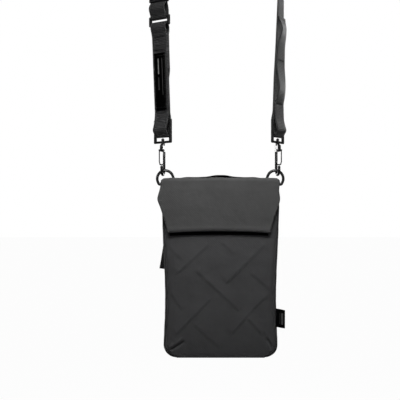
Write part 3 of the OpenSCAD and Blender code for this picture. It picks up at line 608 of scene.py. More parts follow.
def over_ring():
    """The loose front of the loop on the strap's ring: it bellies out below the keeper."""
    return [(KEEPER_Z - 3.2, LAYER_N), (RING_TOP_Z + 12, LAYER_N + 2.9), (RING_TOP_Z + 9, LAYER_N + 4.2),
            (RING_TOP_Z + 6, LAYER_N + 3.4), (RING_TOP_Z + 2.2, WRAP_R + 0.4)]


def label_strap_route():
    """From the cut end under the ring down round the left frame, up, round the ring and down under its own end."""
    front_low = TOP_BAR_Z + MERGE
    third = -LAYER_N - LAYER_PITCH
    return (stretch((CUT_Z, third), (UNDER_Z - 1, third), (UNDER_Z - MERGE, -LAYER_N), (front_low, -LAYER_N))
            + [(TOP_BAR_Z + BAR_R, -WRAP_R)] + half_turn(MIDDLE_BAR_Z - 0.7, 0, -1, -1, WRAP_R) + over_frame(LAYER_N)
            + stretch((front_low, LAYER_N), (RING_LOW_Z - 13, LAYER_N))
            + [(RING_LOW_Z - 8, LAYER_N + 1.0), (RING_LOW_Z - 4, LAYER_N + 2.2), (RING_LOW_Z - 1.5, WRAP_R + 0.6)]
            + half_turn(RING_LOW_Z + 0.35, 0, 1, 1, WRAP_R)
            + [(RING_LOW_Z - 3, -WRAP_R - 1.2), (RING_LOW_Z - 8, -LAYER_N - 2.6), (RING_LOW_Z - 12, -LAYER_N - 1.2)]
            + stretch((RING_LOW_Z - 14, -LAYER_N), (UNDER_Z + 1, -LAYER_N)))


def long_strap_route():
    """From the tail on the slider over the arch, round the ring, back over the arch, through the slider, round the
    right frame and up its own outside."""
    third = LAYER_N + LAYER_PITCH
    under = SLIDER_N - WRAP_R - LAYER_PITCH
    top_s = END_S - TOP_BAR_Z
    tack_s = END_S - TACK_Z
    low_s = SLIDER_S + SLIDER_GAP + BAR_R
    over = ARCH_Z + ARCH_L
    steps = 36
    return ([(LOOP_S - TAIL, LAYER_N), (LOOP_S - MERGE, LAYER_N)] + half_turn(LOOP_S, SLIDER_N, -1, 1, WRAP_R)
            + [(LOOP_S - MERGE, third), (LOOP_S - TAIL - 1, third)]
            + stretch((LOOP_S - TAIL - MERGE, LAYER_N), (over, LAYER_N), (ARCH_Z, LAYER_N), (KEEPER_Z + 3, LAYER_N))
            + over_ring() + half_turn(RING_TOP_Z - 0.35, 0, 1, -1, WRAP_R)
            + [(RING_TOP_Z + 3, -WRAP_R - 0.9), (RING_TOP_Z + 8, -LAYER_N - 2.2), (RING_TOP_Z + 13, -LAYER_N - 0.9)]
            + stretch((KEEPER_Z - 3.4, -LAYER_N), (ARCH_Z, -LAYER_N), (over, -LAYER_N), (LOOP_S - MERGE, -LAYER_N))
            + [(LOOP_S - BAR_R, under), (LOOP_S + BAR_R, under + 0.5)]
            + [(SLIDER_S + WRAP_R * math.sin(math.radians(a)) * 1.3, SLIDER_N + WRAP_R * math.cos(math.radians(a)))
               for a in range(-60, 61, 15)]
            + [(low_s - 2 * BAR_R, -LAYER_N / 2)]
            + stretch((low_s, -LAYER_N), (top_s - MERGE, -LAYER_N)) + [(top_s - BAR_R, -WRAP_R)]
            + half_turn(END_S - MIDDLE_BAR_Z + 0.7, 0, -1, 1, WRAP_R)
            + [(END_S - z, n) for z, n in over_frame(LAYER_N + 0.68)]
            + [(tack_s - 2 * TACK_PITCH * k / steps, *bulge(k, steps)) for k in range(steps + 1)])


# ---- Repeats made by Geometry Nodes ----


def add(tree, kind, inputs=None, **settings):
    """Adds a node. inputs gives each socket a value, or another node's socket to link it to."""
    node = tree.nodes.new(kind)
    for key, value in settings.items():
        setattr(node, key, value)
    for key, value in (inputs or {}).items():
        if isinstance(value, bpy.types.NodeSocket):
            tree.links.new(value, node.inputs[key])
        else:
            node.inputs[key].default_value = value
    return node


def repeat_tree():
    """Sets one small shape at even steps along every edge line, turned to the line and to its facing."""
    name = "Repeat Along"
    if name in bpy.data.node_groups:
        return bpy.data.node_groups[name]
    tree = bpy.data.node_groups.new(name, "GeometryNodeTree")
    tree.is_modifier = True
    for label, kind in (("Geometry", "NodeSocketGeometry"), ("Pitch", "NodeSocketFloat"),
                        ("Size", "NodeSocketVector"), ("Shape", "NodeSocketObject"), ("Finish", "NodeSocketMaterial")):
        tree.interface.new_socket(label, in_out="INPUT", socket_type=kind)
    tree.interface.new_socket("Geometry", in_out="OUTPUT", socket_type="NodeSocketGeometry")
    given = add(tree, "NodeGroupInput").outputs
    curve = add(tree, "GeometryNodeMeshToCurve", {"Mesh": given["Geometry"]})
    spaced = add(tree, "GeometryNodeResampleCurve", {"Curve": curve.outputs[0], "Length": given["Pitch"]},
                 mode="LENGTH")
    ahead = add(tree, "GeometryNodeInputTangent")
    facing = add(tree, "GeometryNodeInputNamedAttribute", {"Name": "facing"}, data_type="FLOAT_VECTOR")
    turned = add(tree, "FunctionNodeAlignRotationToVector", {"Vector": ahead.outputs[0]}, axis="X")
    turned = add(tree, "FunctionNodeAlignRotationToVector",
                 {"Rotation": turned.outputs[0], "Vector": facing.outputs[0]}, axis="Z", pivot_axis="X")
    shape = add(tree, "GeometryNodeObjectInfo", {"Object": given["Shape"]})
    placed = add(tree, "GeometryNodeInstanceOnPoints",
                 {"Points": spaced.outputs[0], "Instance": shape.outputs["Geometry"],
                  "Rotation": turned.outputs[0], "Scale": given["Size"]})
    real = add(tree, "GeometryNodeRealizeInstances", {"Geometry": placed.outputs[0]})
    finished = add(tree, "GeometryNodeSetMaterial", {"Geometry": real.outputs[0], "Material": given["Finish"]})
    add(tree, "NodeGroupOutput", {"Geometry": finished.outputs[0]})
    return tree


def unit_shape(name, points, faces):
    """A small shape about one unit long, wide and high, kept out of the scene for the repeats."""
    mesh = bpy.data.meshes.get(name)
    if mesh is None:
        mesh = bpy.data.meshes.new(name)
        mesh.from_pydata(points, [], faces)
        mesh.polygons.foreach_set("use_smooth", [True] * len(mesh.polygons))
    return bpy.data.objects.get(name) or bpy.data.objects.new(name, mesh)


def thread_shape():
    """A stitch: a short thread, thick in its middle and sunk at both ends."""
    stations = ((-0.5, 0.25, -0.45), (-0.3, 0.85, -0.05), (0, 1, 0.1), (0.3, 0.85, -0.05), (0.5, 0.25, -0.45))
    turns = [2 * math.pi * k / 6 for k in range(6)]
    points = [(x, r * 0.5 * math.cos(a), lift + r * 0.5 * math.sin(a)) for x, r, lift in stations for a in turns]
    return unit_shape("stitch_shape", points, tube_faces(len(stations), len(turns)))


def rib_shape():
    """A rib of webbing: a low round yarn bundle across the band, with three swells along it."""
    arc = [(-0.5, 0), (-0.34, 0.62), (0, 1), (0.34, 0.62), (0.5, 0)]
    stations = [(-0.5, 0.35), (-0.47, 0.8), (-0.31, 1), (-0.15, 0.86), (0, 1), (0.15, 0.86), (0.31, 1), (0.47, 0.8),
                (0.5, 0.35)]
    points = [(x, y, z * high) for y, high in stations for x, z in arc]
    return unit_shape("rib_shape", points, tube_faces(len(stations), len(arc)))


def tooth_shape():
    """A zip tooth: a small moulded block with its four upper edges eased."""
    points = [(x * a, y * b, z) for z, a, b in ((0, 0.5, 0.5), (0.6, 0.5, 0.5), (1, 0.34, 0.38))
              for x, y in ((-1, -1), (1, -1), (1, 1), (-1, 1))]
    faces = [(3, 2, 1, 0), (8, 9, 10, 11)]
    faces += [(r + k, r + (k + 1) % 4, r + 4 + (k + 1) % 4, r + 4 + k) for r in (0, 4) for k in range(4)]
    return unit_shape("tooth_shape", points, faces)


def level_line(xs, y, z):
    """Points along the pouch at one depth and height."""
    return np.stack(np.broadcast_arrays(xs, y, z), 1)


def repeat_along(name, lines, shape, pitch, size, material):
    """Sets shape along lines, each a pair of points and facings in millimetres, as one plain mesh."""
    points, edges, facing = [], [], []
    for path, faces_to in lines:
        first = len(points)
        points += [tuple(p) for p in lay(path)]
        facing += [tuple(f) for f in np.broadcast_to(faces_to, np.shape(path))]
        edges += [(first + k, first + k + 1) for k in range(len(path) - 1)]
    mesh = bpy.data.meshes.new(name)
    mesh.from_pydata(points, edges, [])
    layer = mesh.attributes.new("facing", "FLOAT_VECTOR", "POINT")
    layer.data.foreach_set("vector", np.asarray(facing, float).ravel())
    obj = put(name, mesh)
    tree = repeat_tree()
    mod = obj.modifiers.new("Repeat", "NODES")
    mod.node_group = tree
    sockets = {s.name: s.identifier for s in tree.interface.items_tree if s.in_out == "INPUT"}
    for label, value in (("Pitch", pitch), ("Size", size), ("Shape", shape), ("Finish", material)):
        mod[sockets[label]] = value
    apply_modifiers(obj)
    obj.data.polygons.foreach_set("use_smooth", [True] * len(obj.data.polygons))
    return obj


def sewn(name, lines, context, material, body):
    """A row of stitches along each line, on one body."""
    shape = context.scene.strap_shape
    obj = repeat_along(name, lines, thread_shape(), shape.stitch_pitch,
                       (shape.stitch_length, shape.thread, shape.thread), material)
    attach(obj, body)
    return obj


# ---- Materials ----


def new_material(name, inputs=None):
    """A material with its tree, its surface shader with the given inputs, and the object's own coordinates."""
    found = bpy.data.materials.get(name)
    if found:
        bpy.data.materials.remove(found)
    mat = bpy.data.materials.new(name)
    mat.use_nodes = True
    tree = mat.node_tree
    tree.nodes.clear()
    surface = add(tree, "ShaderNodeBsdfPrincipled", inputs)
    add(tree, "ShaderNodeOutputMaterial", {"Surface": surface.outputs[0]})
    return mat, tree, surface, add(tree, "ShaderNodeTexCoord").outputs


def vary(tree, where, colour_value, scale, amount):
    """The colour, a little lighter and darker in patches of the given size in metres."""
    patches = add(tree, "ShaderNodeTexNoise", {"Vector": where, "Scale": 1 / scale, "Detail": 4, "Roughness": 0.6})
    base = np.array(colour_value)
    ramp = add(tree, "ShaderNodeValToRGB", {"Fac": patches.outputs[0]})
    ramp.color_ramp.elements[0].position = 0.3
    ramp.color_ramp.elements[1].position = 0.7
    ramp.color_ramp.elements[0].color = (*(base * (1 - amount)), 1)
    ramp.color_ramp.elements[1].color = (*np.minimum(1, base * (1 + amount)), 1)
    return ramp.outputs[0]


def threads(tree, where, pitch):
    """Height of a plain weave: the product of two sine waves across the cloth's own flat coordinates."""
    apart = add(tree, "ShaderNodeSeparateXYZ", {0: where})
    waves = []
    for k in (0, 1):
        turned = add(tree, "ShaderNodeMath", {0: apart.outputs[k], 1: math.pi / pitch}, operation="MULTIPLY")
        waves.append(add(tree, "ShaderNodeMath", {0: turned.outputs[0]}, operation="SINE").outputs[0])
    return add(tree, "ShaderNodeMath", {0: waves[0], 1: waves[1]}, operation="MULTIPLY").outputs[0]


def bump(tree, surface, height, distance, under=None):
    """Raises the surface by a height over a distance in metres, on top of the bump under it."""
    node = add(tree, "ShaderNodeBump", {"Height": height, "Distance": distance, "Strength": 1})
    if under is not None:
        tree.links.new(under, node.inputs["Normal"])
    tree.links.new(node.outputs[0], surface.inputs["Normal"])
    return node.outputs[0]


def rub(tree, surface, rubbed, low, high):
    """Roughness between two values, by the patches that hands have rubbed."""
    gloss = add(tree, "ShaderNodeMapRange", {"Value": rubbed.outputs[0], "From Min": 0.3, "From Max": 0.7,
                                             "To Min": low, "To Max": high})
    tree.links.new(gloss.outputs[0], surface.inputs["Roughness"])


def woven(name, colour_value, pitch, rough, sheen, depth=0.00007, patch=0.02, amount=0.07, crumple=0.0, shine=0.2):
    """Woven cloth: threads from its flat coordinates, patches of wear and a soft sheen."""
    mat, tree, surface, where = new_material(name, {"Roughness": rough, "Sheen Weight": sheen, "Sheen Roughness": 0.45,
                                                    "Specular IOR Level": shine})
    tree.links.new(vary(tree, where["Object"], colour_value, patch, amount), surface.inputs["Base Color"])
    under = None
    if crumple:
        lumps = add(tree, "ShaderNodeTexNoise", {"Vector": where["Object"], "Scale": 90, "Detail": 3})
        under = bump(tree, surface, lumps.outputs[0], crumple)
    bump(tree, surface, threads(tree, where["UV"], pitch), depth, under)
    return mat


def woven_finishes(colours, pitch):
    """Every cloth. Real threads of the pouch's cloth lie 0.25 mm apart; they are drawn 0.9 mm apart so that the
    grain shows."""
    webbing = np.array(colours.webbing)
    return {
        # Matt coated nylon, plain woven: flat and even, with a faint thread grain
        "body": woven("coated_nylon_plain_woven", colours.body, pitch, rough=0.72, sheen=0.12, crumple=0.0006),
        # The same nylon, a shade lighter than the body: painted light, for the brighter light that falls on the flap
        "flap": woven("coated_nylon_flap", colours.flap, pitch, rough=0.7, sheen=0.14, crumple=0.0007),
        # The same nylon on the gusset, more crumpled, and darker: painted shade on the pouch's sides, which turn away
        # from the light
        "gusset": woven("coated_nylon_gusset", colours.gusset, pitch, rough=0.74, sheen=0.08, crumple=0.0009),
        # Black polyester facing and binding, densely woven: almost no light comes back from it. Where the facing
        # reaches below the flap's hem, its near-black is painted shadow under the flap's edge
        "facing": woven("polyester_facing_woven", colours.facing, 0.0008, rough=0.9, sheen=0.0, shine=0.0),
        # Smooth polyester lining, satin woven: finer and glossier than the outside
        "lining": woven("polyester_lining_satin", colours.lining, 0.0006, rough=0.5, sheen=0.1, depth=0.00006),
        # Polyester webbing, shuttle woven: hard bright yarns in ribs, so each rib catches light along its top
        "webbing": woven("polyester_webbing_ribbed", colours.webbing, 0.0007, rough=0.46, sheen=0.38, shine=0.5,
                         depth=0.00016, patch=0.006, amount=0.22),
        # Grosgrain, knitted zip tape and folded pull tape: fine cross ribs on a near-black ground
        **{key: woven(name, webbing * share, 0.0009, rough=0.75, sheen=0.12, depth=0.0002, patch=0.006, amount=0.15)
           for key, name, share in (("tab", "grosgrain_tape", 0.5), ("zip_tape", "zip_tape_knitted", 0.42),
                                    ("pull", "pull_tape_folded", 0.6))},
    }


def thread_finish(colours):
    """Bonded polyester thread: smooth, with a small highlight along each stitch."""
    mat, tree, surface, where = new_material("polyester_thread_bonded", {"Roughness": 0.45})
    tree.links.new(vary(tree, where["Object"], colours.thread, 0.003, 0.25), surface.inputs["Base Color"])
    return mat


def moulded_acetal(colours):
    """Injection-moulded acetal: fine spark-eroded grain with a satin gloss, rubbed smoother in patches."""
    mat, tree, surface, where = new_material("acetal_moulded_satin", {"IOR": 1.48})
    tree.links.new(vary(tree, where["Object"], colours.plastic, 0.004, 0.12), surface.inputs["Base Color"])
    rubbed = add(tree, "ShaderNodeTexNoise", {"Vector": where["Object"], "Scale": 160, "Detail": 5})
    rub(tree, surface, rubbed, 0.36, 0.56)
    grain = add(tree, "ShaderNodeTexNoise", {"Vector": where["Object"], "Scale": 2600, "Detail": 2})
    bump(tree, surface, grain.outputs[0], 0.00004)
    return mat


def lacquered_steel(name, colours, rough=0.34):
    """Steel wire and die-cast zinc under black lacquer: dark, smooth, with faint orange peel and pale rubbed
    edges where the metal shows through."""
    mat, tree, surface, where = new_material(name, {"Coat Weight": 0.35, "Coat Roughness": 0.2, "Metallic": 0.35})
    rubbed = add(tree, "ShaderNodeTexNoise", {"Vector": where["Object"], "Scale": 420, "Detail": 6, "Roughness": 0.7})
    base = np.array(colours.metal)
    ramp = add(tree, "ShaderNodeValToRGB", {"Fac": rubbed.outputs[0]})
    ramp.color_ramp.elements[0].position = 0.45
    ramp.color_ramp.elements[0].color = (*base, 1)
    ramp.color_ramp.elements[1].position = 0.78
    ramp.color_ramp.elements[1].color = (*(base * 3.2), 1)
    tree.links.new(ramp.outputs[0], surface.inputs["Base Color"])
    rub(tree, surface, rubbed, rough - 0.06, rough + 0.12)
    peel = add(tree, "ShaderNodeTexNoise", {"Vector": where["Object"], "Scale": 900, "Detail": 2})
    bump(tree, surface, peel.outputs[0], 0.00005)
    return mat


def plated_steel():
    """Nickel-plated magnet: bright, finely turned."""
    mat, tree, surface, where = new_material("nickel_plated_magnet", {"Metallic": 1, "Roughness": 0.3})
    tree.links.new(vary(tree, where["Object"], linear("#a9a9ab"), 0.004, 0.1), surface.inputs["Base Color"])
    return mat


def label_weave(name, stripe, stripes):
    """Damask-woven satin label: a near-black ground with plain woven stripes, each from and to a place along and
    across the label in metres."""
    mat, tree, surface, where = new_material(name, {"Roughness": 0.6, "Specular IOR Level": 0.03})
    apart = add(tree, "ShaderNodeSeparateXYZ", {0: where["UV"]})
    shade = vary(tree, where["Object"], linear("#020202"), 0.004, 0.15)
    for low_u, high_u, low_v, high_v, tone in stripes:
        mask = 1.0
        for axis, value, way in ((0, low_u, 1), (0, high_u, -1), (1, low_v, 1), (1, high_v, -1)):
            inside = add(tree, "ShaderNodeMapRange", {"Value": apart.outputs[axis], "From Min": value,
                                                      "From Max": value + way * 0.0004, "To Min": 0, "To Max": 1})
            mask = add(tree, "ShaderNodeMath", {0: mask, 1: inside.outputs[0]}, operation="MULTIPLY").outputs[0]
        shade = add(tree, "ShaderNodeMix", {"Factor": mask, "A": shade, "B": (*(np.array(stripe) * tone), 1)},
                    data_type="RGBA").outputs[2]
    tree.links.new(shade, surface.inputs["Base Color"])
    bump(tree, surface, threads(tree, where["UV"], 0.0007), 0.00012)
    return mat


FINISHES = {}


def finishes(context):
    """Every material, made once from the panel's colours."""
    if not FINISHES:
        colours = context.scene.pouch_colours
        FINISHES.update(
            **woven_finishes(colours, context.scene.pouch_shape.cloth_pitch), thread=thread_finish(colours),
            plastic=moulded_acetal(colours), metal=lacquered_steel("steel_black_lacquered", colours),
            wire=lacquered_steel("spring_wire_black_lacquered", colours, 0.28), magnet=plated_steel())
    return FINISHES


def recolour(node, material):
    """Gives a CAD node a finish."""
    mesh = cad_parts[node].data
    mesh.materials.clear()
    mesh.materials.append(material)


# ---- Operators ----


class POUCH_OT_stage(bpy.types.Operator):
    """Adds the floor, the soft lamps, the pale surroundings and the camera"""

    bl_idname = "pouch.stage"
    bl_label = "Stage"

    def execute(self, context):
        stage = context.scene.pouch_stage
        floor_mesh = bpy.data.meshes.new("floor")
        low = (BASE[2] - 150) * MM
        floor_mesh.from_pydata([(-6, -6, low), (6, -6, low), (6, 6, low), (-6, 6, low)], [], [(0, 1, 2, 3)])
        floor = put("floor", floor_mesh)
        paint = {"Base Color": (0.75, 0.75, 0.75, 1), "Roughness": 0.9}
        mat, tree, surface, _ = new_material("floor_matt_white", paint)
        self.show_white(tree, surface.outputs[0], 0.975)
        floor_mesh.materials.append(mat)

        world = bpy.data.worlds.new("studio")
        context.scene.world = world
        world.use_nodes = True
        tree = world.node_tree
        tree.nodes.clear()
        seen = self.seen_directly(tree)
        light = add(tree, "ShaderNodeBackground", {"Color": (1, 1, 1, 1), "Strength": stage.fill})
        white = add(tree, "ShaderNodeBackground", {"Color": (1, 1, 1, 1), "Strength": 1})
        both = add(tree, "ShaderNodeMixShader", {0: seen, 1: light.outputs[0], 2: white.outputs[0]})
        add(tree, "ShaderNodeOutputWorld", {"Surface": both.outputs[0]})

        for name, power, size, spread, high, spot in LAMPS:
            aim = Vector(lay((0, 0, high)))
            lamp = bpy.data.lights.new(name, "AREA")
            lamp.energy, lamp.size, lamp.spread = getattr(stage, power), size, math.radians(spread)
            holder = put(name, lamp)
            holder.location = aim + Vector(spot)
            holder.rotation_euler = (aim - holder.location).to_track_quat("-Z", "Y").to_euler()

        camera_data = bpy.data.cameras.new("camera")
        camera_data.lens = stage.lens
        camera_data.sensor_width = 36
        camera = put("camera", camera_data)
        camera.location = Vector(lay((-21.6, 0, 165))) - Vector((0, stage.distance, 0))
        camera.rotation_euler = (math.pi / 2, 0, 0)
        context.scene.camera = camera
        context.scene.view_settings.view_transform = "Standard"
        return {"FINISHED"}

    @staticmethod
    def seen_directly(tree):
        """1 for rays from the camera or through glass, which see plain white."""
        path = add(tree, "ShaderNodeLightPath").outputs
        return add(tree, "ShaderNodeMath", {0: path["Is Camera Ray"], 1: path["Is Transmission Ray"]},
                   operation="MAXIMUM").outputs[0]

    def show_white(self, tree, surface, share):
        """Shows a white floor to the camera, and keeps a share of its shadow."""
        seen = self.seen_directly(tree)
        part = add(tree, "ShaderNodeMath", {0: seen, 1: share}, operation="MULTIPLY")
        white = add(tree, "ShaderNodeEmission", {"Color": (1, 1, 1, 1), "Strength": 1})
        mix = add(tree, "ShaderNodeMixShader", {0: part.outputs[0], 1: surface, 2: white.outputs[0]})
        output = next(n for n in tree.nodes if n.type == "OUTPUT_MATERIAL")
        tree.links.new(mix.outputs[0], output.inputs["Surface"])


class POUCH_OT_front(bpy.types.Operator):
    """Builds the padded, quilted front panel with its corner tucks"""

    bl_idname = "pouch.front"
    bl_label = "Front Panel"

    def execute(self, context):
        shape, seed = context.scene.pouch_shape, context.scene.pouch_stage.seed
        crown, ridge, inset, wrinkle = (v / MM for v in (shape.crown, shape.ridge, shape.seam_inset, shape.wrinkle))

        def half(z):
            return side_x(z, inset)

        blown = blown_sheet(half, FRONT_LOW_Z, FRONT_TOP_Z, SLACK, 2, seed)
        blown /= np.percentile(blown, 95)

        def front(x, z):
            rim = edge_fade(x, z, half, 0, FRONT_TOP_Z + 20, 10, bottom=2)
            near = smooth(np.minimum(half(z) - np.abs(x), z) / 7)
            low = smooth(z / 50)
            swell = sample(blown, 0.5 + 0.5 * x / half(z), (z - FRONT_LOW_Z) / (FRONT_TOP_Z - FRONT_LOW_Z))
            lumps = sum(share * ripple(x, z, size, seed + k) for k, (size, share) in enumerate(LUMPS))
            up = (PADDED * rim * (0.72 + 0.28 * low) + (1 - PADDED) * swell) * (crown - 0.5 * ridge)
            up = up + near * (ridge * quilting(x, z) + wrinkle * lumps) - near * tucks(x, z)
            under_flap = smooth((z - HEM_Z + 36) / 32)
            return np.minimum(SEAM_Y - 0.1 - up * (1 - 0.45 * under_flap), -FOAM_Y - 0.35)

        def back(x, z):
            return np.full_like(x, -FOAM_Y - 0.02)

        rows = even_rows(FRONT_LOW_Z, FRONT_TOP_Z, 230, corner=1)
        panel = slab("front_panel_quilted", half, rows, 150, front, back, finishes(context)["body"])
        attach(panel, "pouch")
        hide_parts("front_panel", "front_foam")
        return {"FINISHED"}


class POUCH_OT_gusset(bpy.types.Operator):
    """Builds the gusset band round the sides and bottom, with its two sewn seams"""

    bl_idname = "pouch.gusset"
    bl_label = "Gusset"

    def execute(self, context):
        inset = context.scene.pouch_shape.seam_inset / MM
        seed = context.scene.pouch_stage.seed
        outline = self.outline()
        section = ((-7.3, -inset - 0.1), (-7.45, -inset + 0.7), (-6.6, -inset + 1.5), (-5.3, -0.45), (-3.0, 0),
                   (0.5, -0.08), (3.2, 0), (5.8, -0.1), (7.4, -0.3), (8.3, -0.62), (8.7, -1.3), (7.6, -1.55), (3, -1.3),
                   (-3, -1.4), (-5.6, -inset))
        points, flat = [], []
        for (x, z), (nx, nz), s in zip(outline, self.outward(outline), run_along(outline)):
            for y, out in section:
                loose = (0.22 * noise.noise(Vector((s / 9, y / 14, seed)))
                         + 0.12 * noise.noise(Vector((s / 3.2, y / 8, 5))))
                d = out + (loose if out > -1 else 0)
                points.append((x + nx * d, y, z + nz * d))
                flat.append((s, y))
        faces = tube_faces(len(outline), len(section))
        # The gusset's darker colour is painted shade on the pouch's sides
        band = new_piece("gusset_band", points, faces, finishes(context)["gusset"], uv=flat)
        soften(band)
        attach(band, "pouch")
        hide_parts("gusset")
        return {"FINISHED"}

    @staticmethod
    def outline():
        """The pouch's outer edge from the left mouth down, along the bottom and up to the right mouth."""
        arc = np.linspace(0, np.pi / 2, 14)
        corner = CORNER_R - CORNER_R * np.cos(arc)
        up = np.linspace(CORNER_R, GUSSET_TOP_Z, 84)[1:]
        z = np.concatenate([corner, up])
        right = np.stack([side_x(z, 0), z], 1)
        bottom = np.stack([np.linspace(-right[0, 0], right[0, 0], 44)[1:-1], np.zeros(42)], 1)
        return np.concatenate([right[::-1] * (-1, 1), bottom, right])

    @staticmethod
    def outward(outline):
        along = unit(np.gradient(outline, axis=0))
        return np.stack([along[:, 1], -along[:, 0]], 1)


class POUCH_OT_back(bpy.types.Operator):
    """Builds the two back panels, the linings, the pocket and the binding along the back edge"""

    bl_idname = "pouch.back"
    bl_label = "Back and Linings"

    def execute(self, context):
        seed = context.scene.pouch_stage.seed
        done = finishes(context)

        def panel(name, low, high, corner, y0, y1, material, swell, margin=0.4, cols=90, rows=70, flip=1, slot=None):
            """A panel between two heights and two depths, whose face at y1 swells outwards."""

            def half(z):
                return side_x(z, margin)

            def outer(x, z):
                rim = edge_fade(x, z, half, low, high, 4)
                lumps = ripple(x, z, 26, seed + 11) + 0.4 * ripple(x, z, 9, seed + 12)
                return y1 + flip * (rim - 1) * abs(y1 - y0) * 0.42 + flip * swell * rim * (0.6 + lumps) * 0.6

            def inner(x, z):
                """Its plain face, cut away behind the zip where the slider's inner plate runs."""
                cut = (np.abs(z - ZIP_UP) < ZIP_OPEN / 2 + 0.15) & (np.abs(x) < half(z) - 0.3) & (slot is not None)
                return np.where(cut, slot if slot is not None else y0, y0)

            heights = even_rows(low, high, rows, corner)
            if slot is not None:
                edge = ZIP_OPEN / 2 + np.array((0.1, 0.2))
                heights = np.union1d(heights, np.concatenate([ZIP_UP - edge, ZIP_UP + edge]))
            return slab(name, half, heights, cols, outer, inner, material)

        lower = panel("back_panel_lower_cloth", 0.1, ZIP_UP - ZIP_OPEN / 2, 1, BACK_PANEL_Y, BACK_FACE_Y,
                      done["body"], 0.45)
        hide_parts("back_panel_lower")
        upper = panel("back_panel_upper_cloth", ZIP_UP + ZIP_OPEN / 2, BACK_TOP_Z, 0, BACK_PANEL_Y, BACK_FACE_Y,
                      done["body"], 0.3, rows=40)
        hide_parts("back_panel_upper")
        for piece in (lower, upper):
            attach(piece, "pouch")

        front_lining = panel("front_lining_cloth", LINING_LOW_Z, FRONT_TOP_Z, 1, -FOAM_Y + 0.03, -LINING_Y - 0.05,
                             done["lining"], 0.12, margin=LINING_IN)
        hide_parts("front_lining")
        back_lining = panel("back_lining_cloth", LINING_LOW_Z, GUSSET_TOP_Z, 1, 6.75, LINING_Y + 0.05,
                            done["lining"], 0.12, margin=LINING_IN, flip=-1, slot=LINING_Y + 0.65)
        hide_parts("back_lining", "back_foam")
        pocket = panel("pocket_lining_cloth", LINING_LOW_Z, ZIP_UP - ZIP_OPEN / 2, 1, 6.8, 7.05, done["lining"], 0.02,
                       margin=LINING_IN)
        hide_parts("pocket_lining")
        pocket_top = panel("pocket_lining_top", ZIP_UP + ZIP_OPEN / 2, GUSSET_TOP_Z, 0, 6.8, 7.05, done["lining"], 0.02,
                           margin=LINING_IN, rows=30)
        for piece in (front_lining, back_lining, pocket, pocket_top):
            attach(piece, "pouch")
        self.binding(done)
        return {"FINISHED"}

    @staticmethod
    def binding(done):
        """A folded tape along the back edge, whose middle rises above the flap."""
        low, high = box_mm("top_binding")
        half = high[0] - 0.6
        shares = np.linspace(-1, 1, 73)
        lift = np.interp(shares, (-1, -0.8, -0.55, -0.3, -0.12, 0.12, 0.3, 0.55, 0.8, 1),
                         (0, 1.4, 1.2, 1.8, 3.5, 3.5, 1.8, 1.1, 1.3, 0))
        kernel = np.hanning(9) / np.hanning(9).sum()
        lift = np.convolve(np.pad(lift, 4, mode="edge"), kernel, "valid")
        bottom = low[2] - BASE[2]
        section = ((9.0, bottom), (9.9, bottom + 0.3), (10.05, 0.55), (9.95, 0.93), (9.4, 1.0), (8.95, 0.92),
                   (8.9, 0.5))
        points, flat = [], []
        for share, up in zip(shares, lift):
            top = TOP_Z + up
            for y, z in section:
                height = z if z > 2 else bottom + (top - bottom) * z
                points.append((share * half, y + 0.12 * math.sin(share * 40), height))
                flat.append((share * half, height))
        faces = tube_faces(len(shares), len(section))
        piece = new_piece("back_edge_binding", points, faces, done["facing"], uv=flat)
        soften(piece)
        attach(piece, "pouch")
        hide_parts("top_binding")


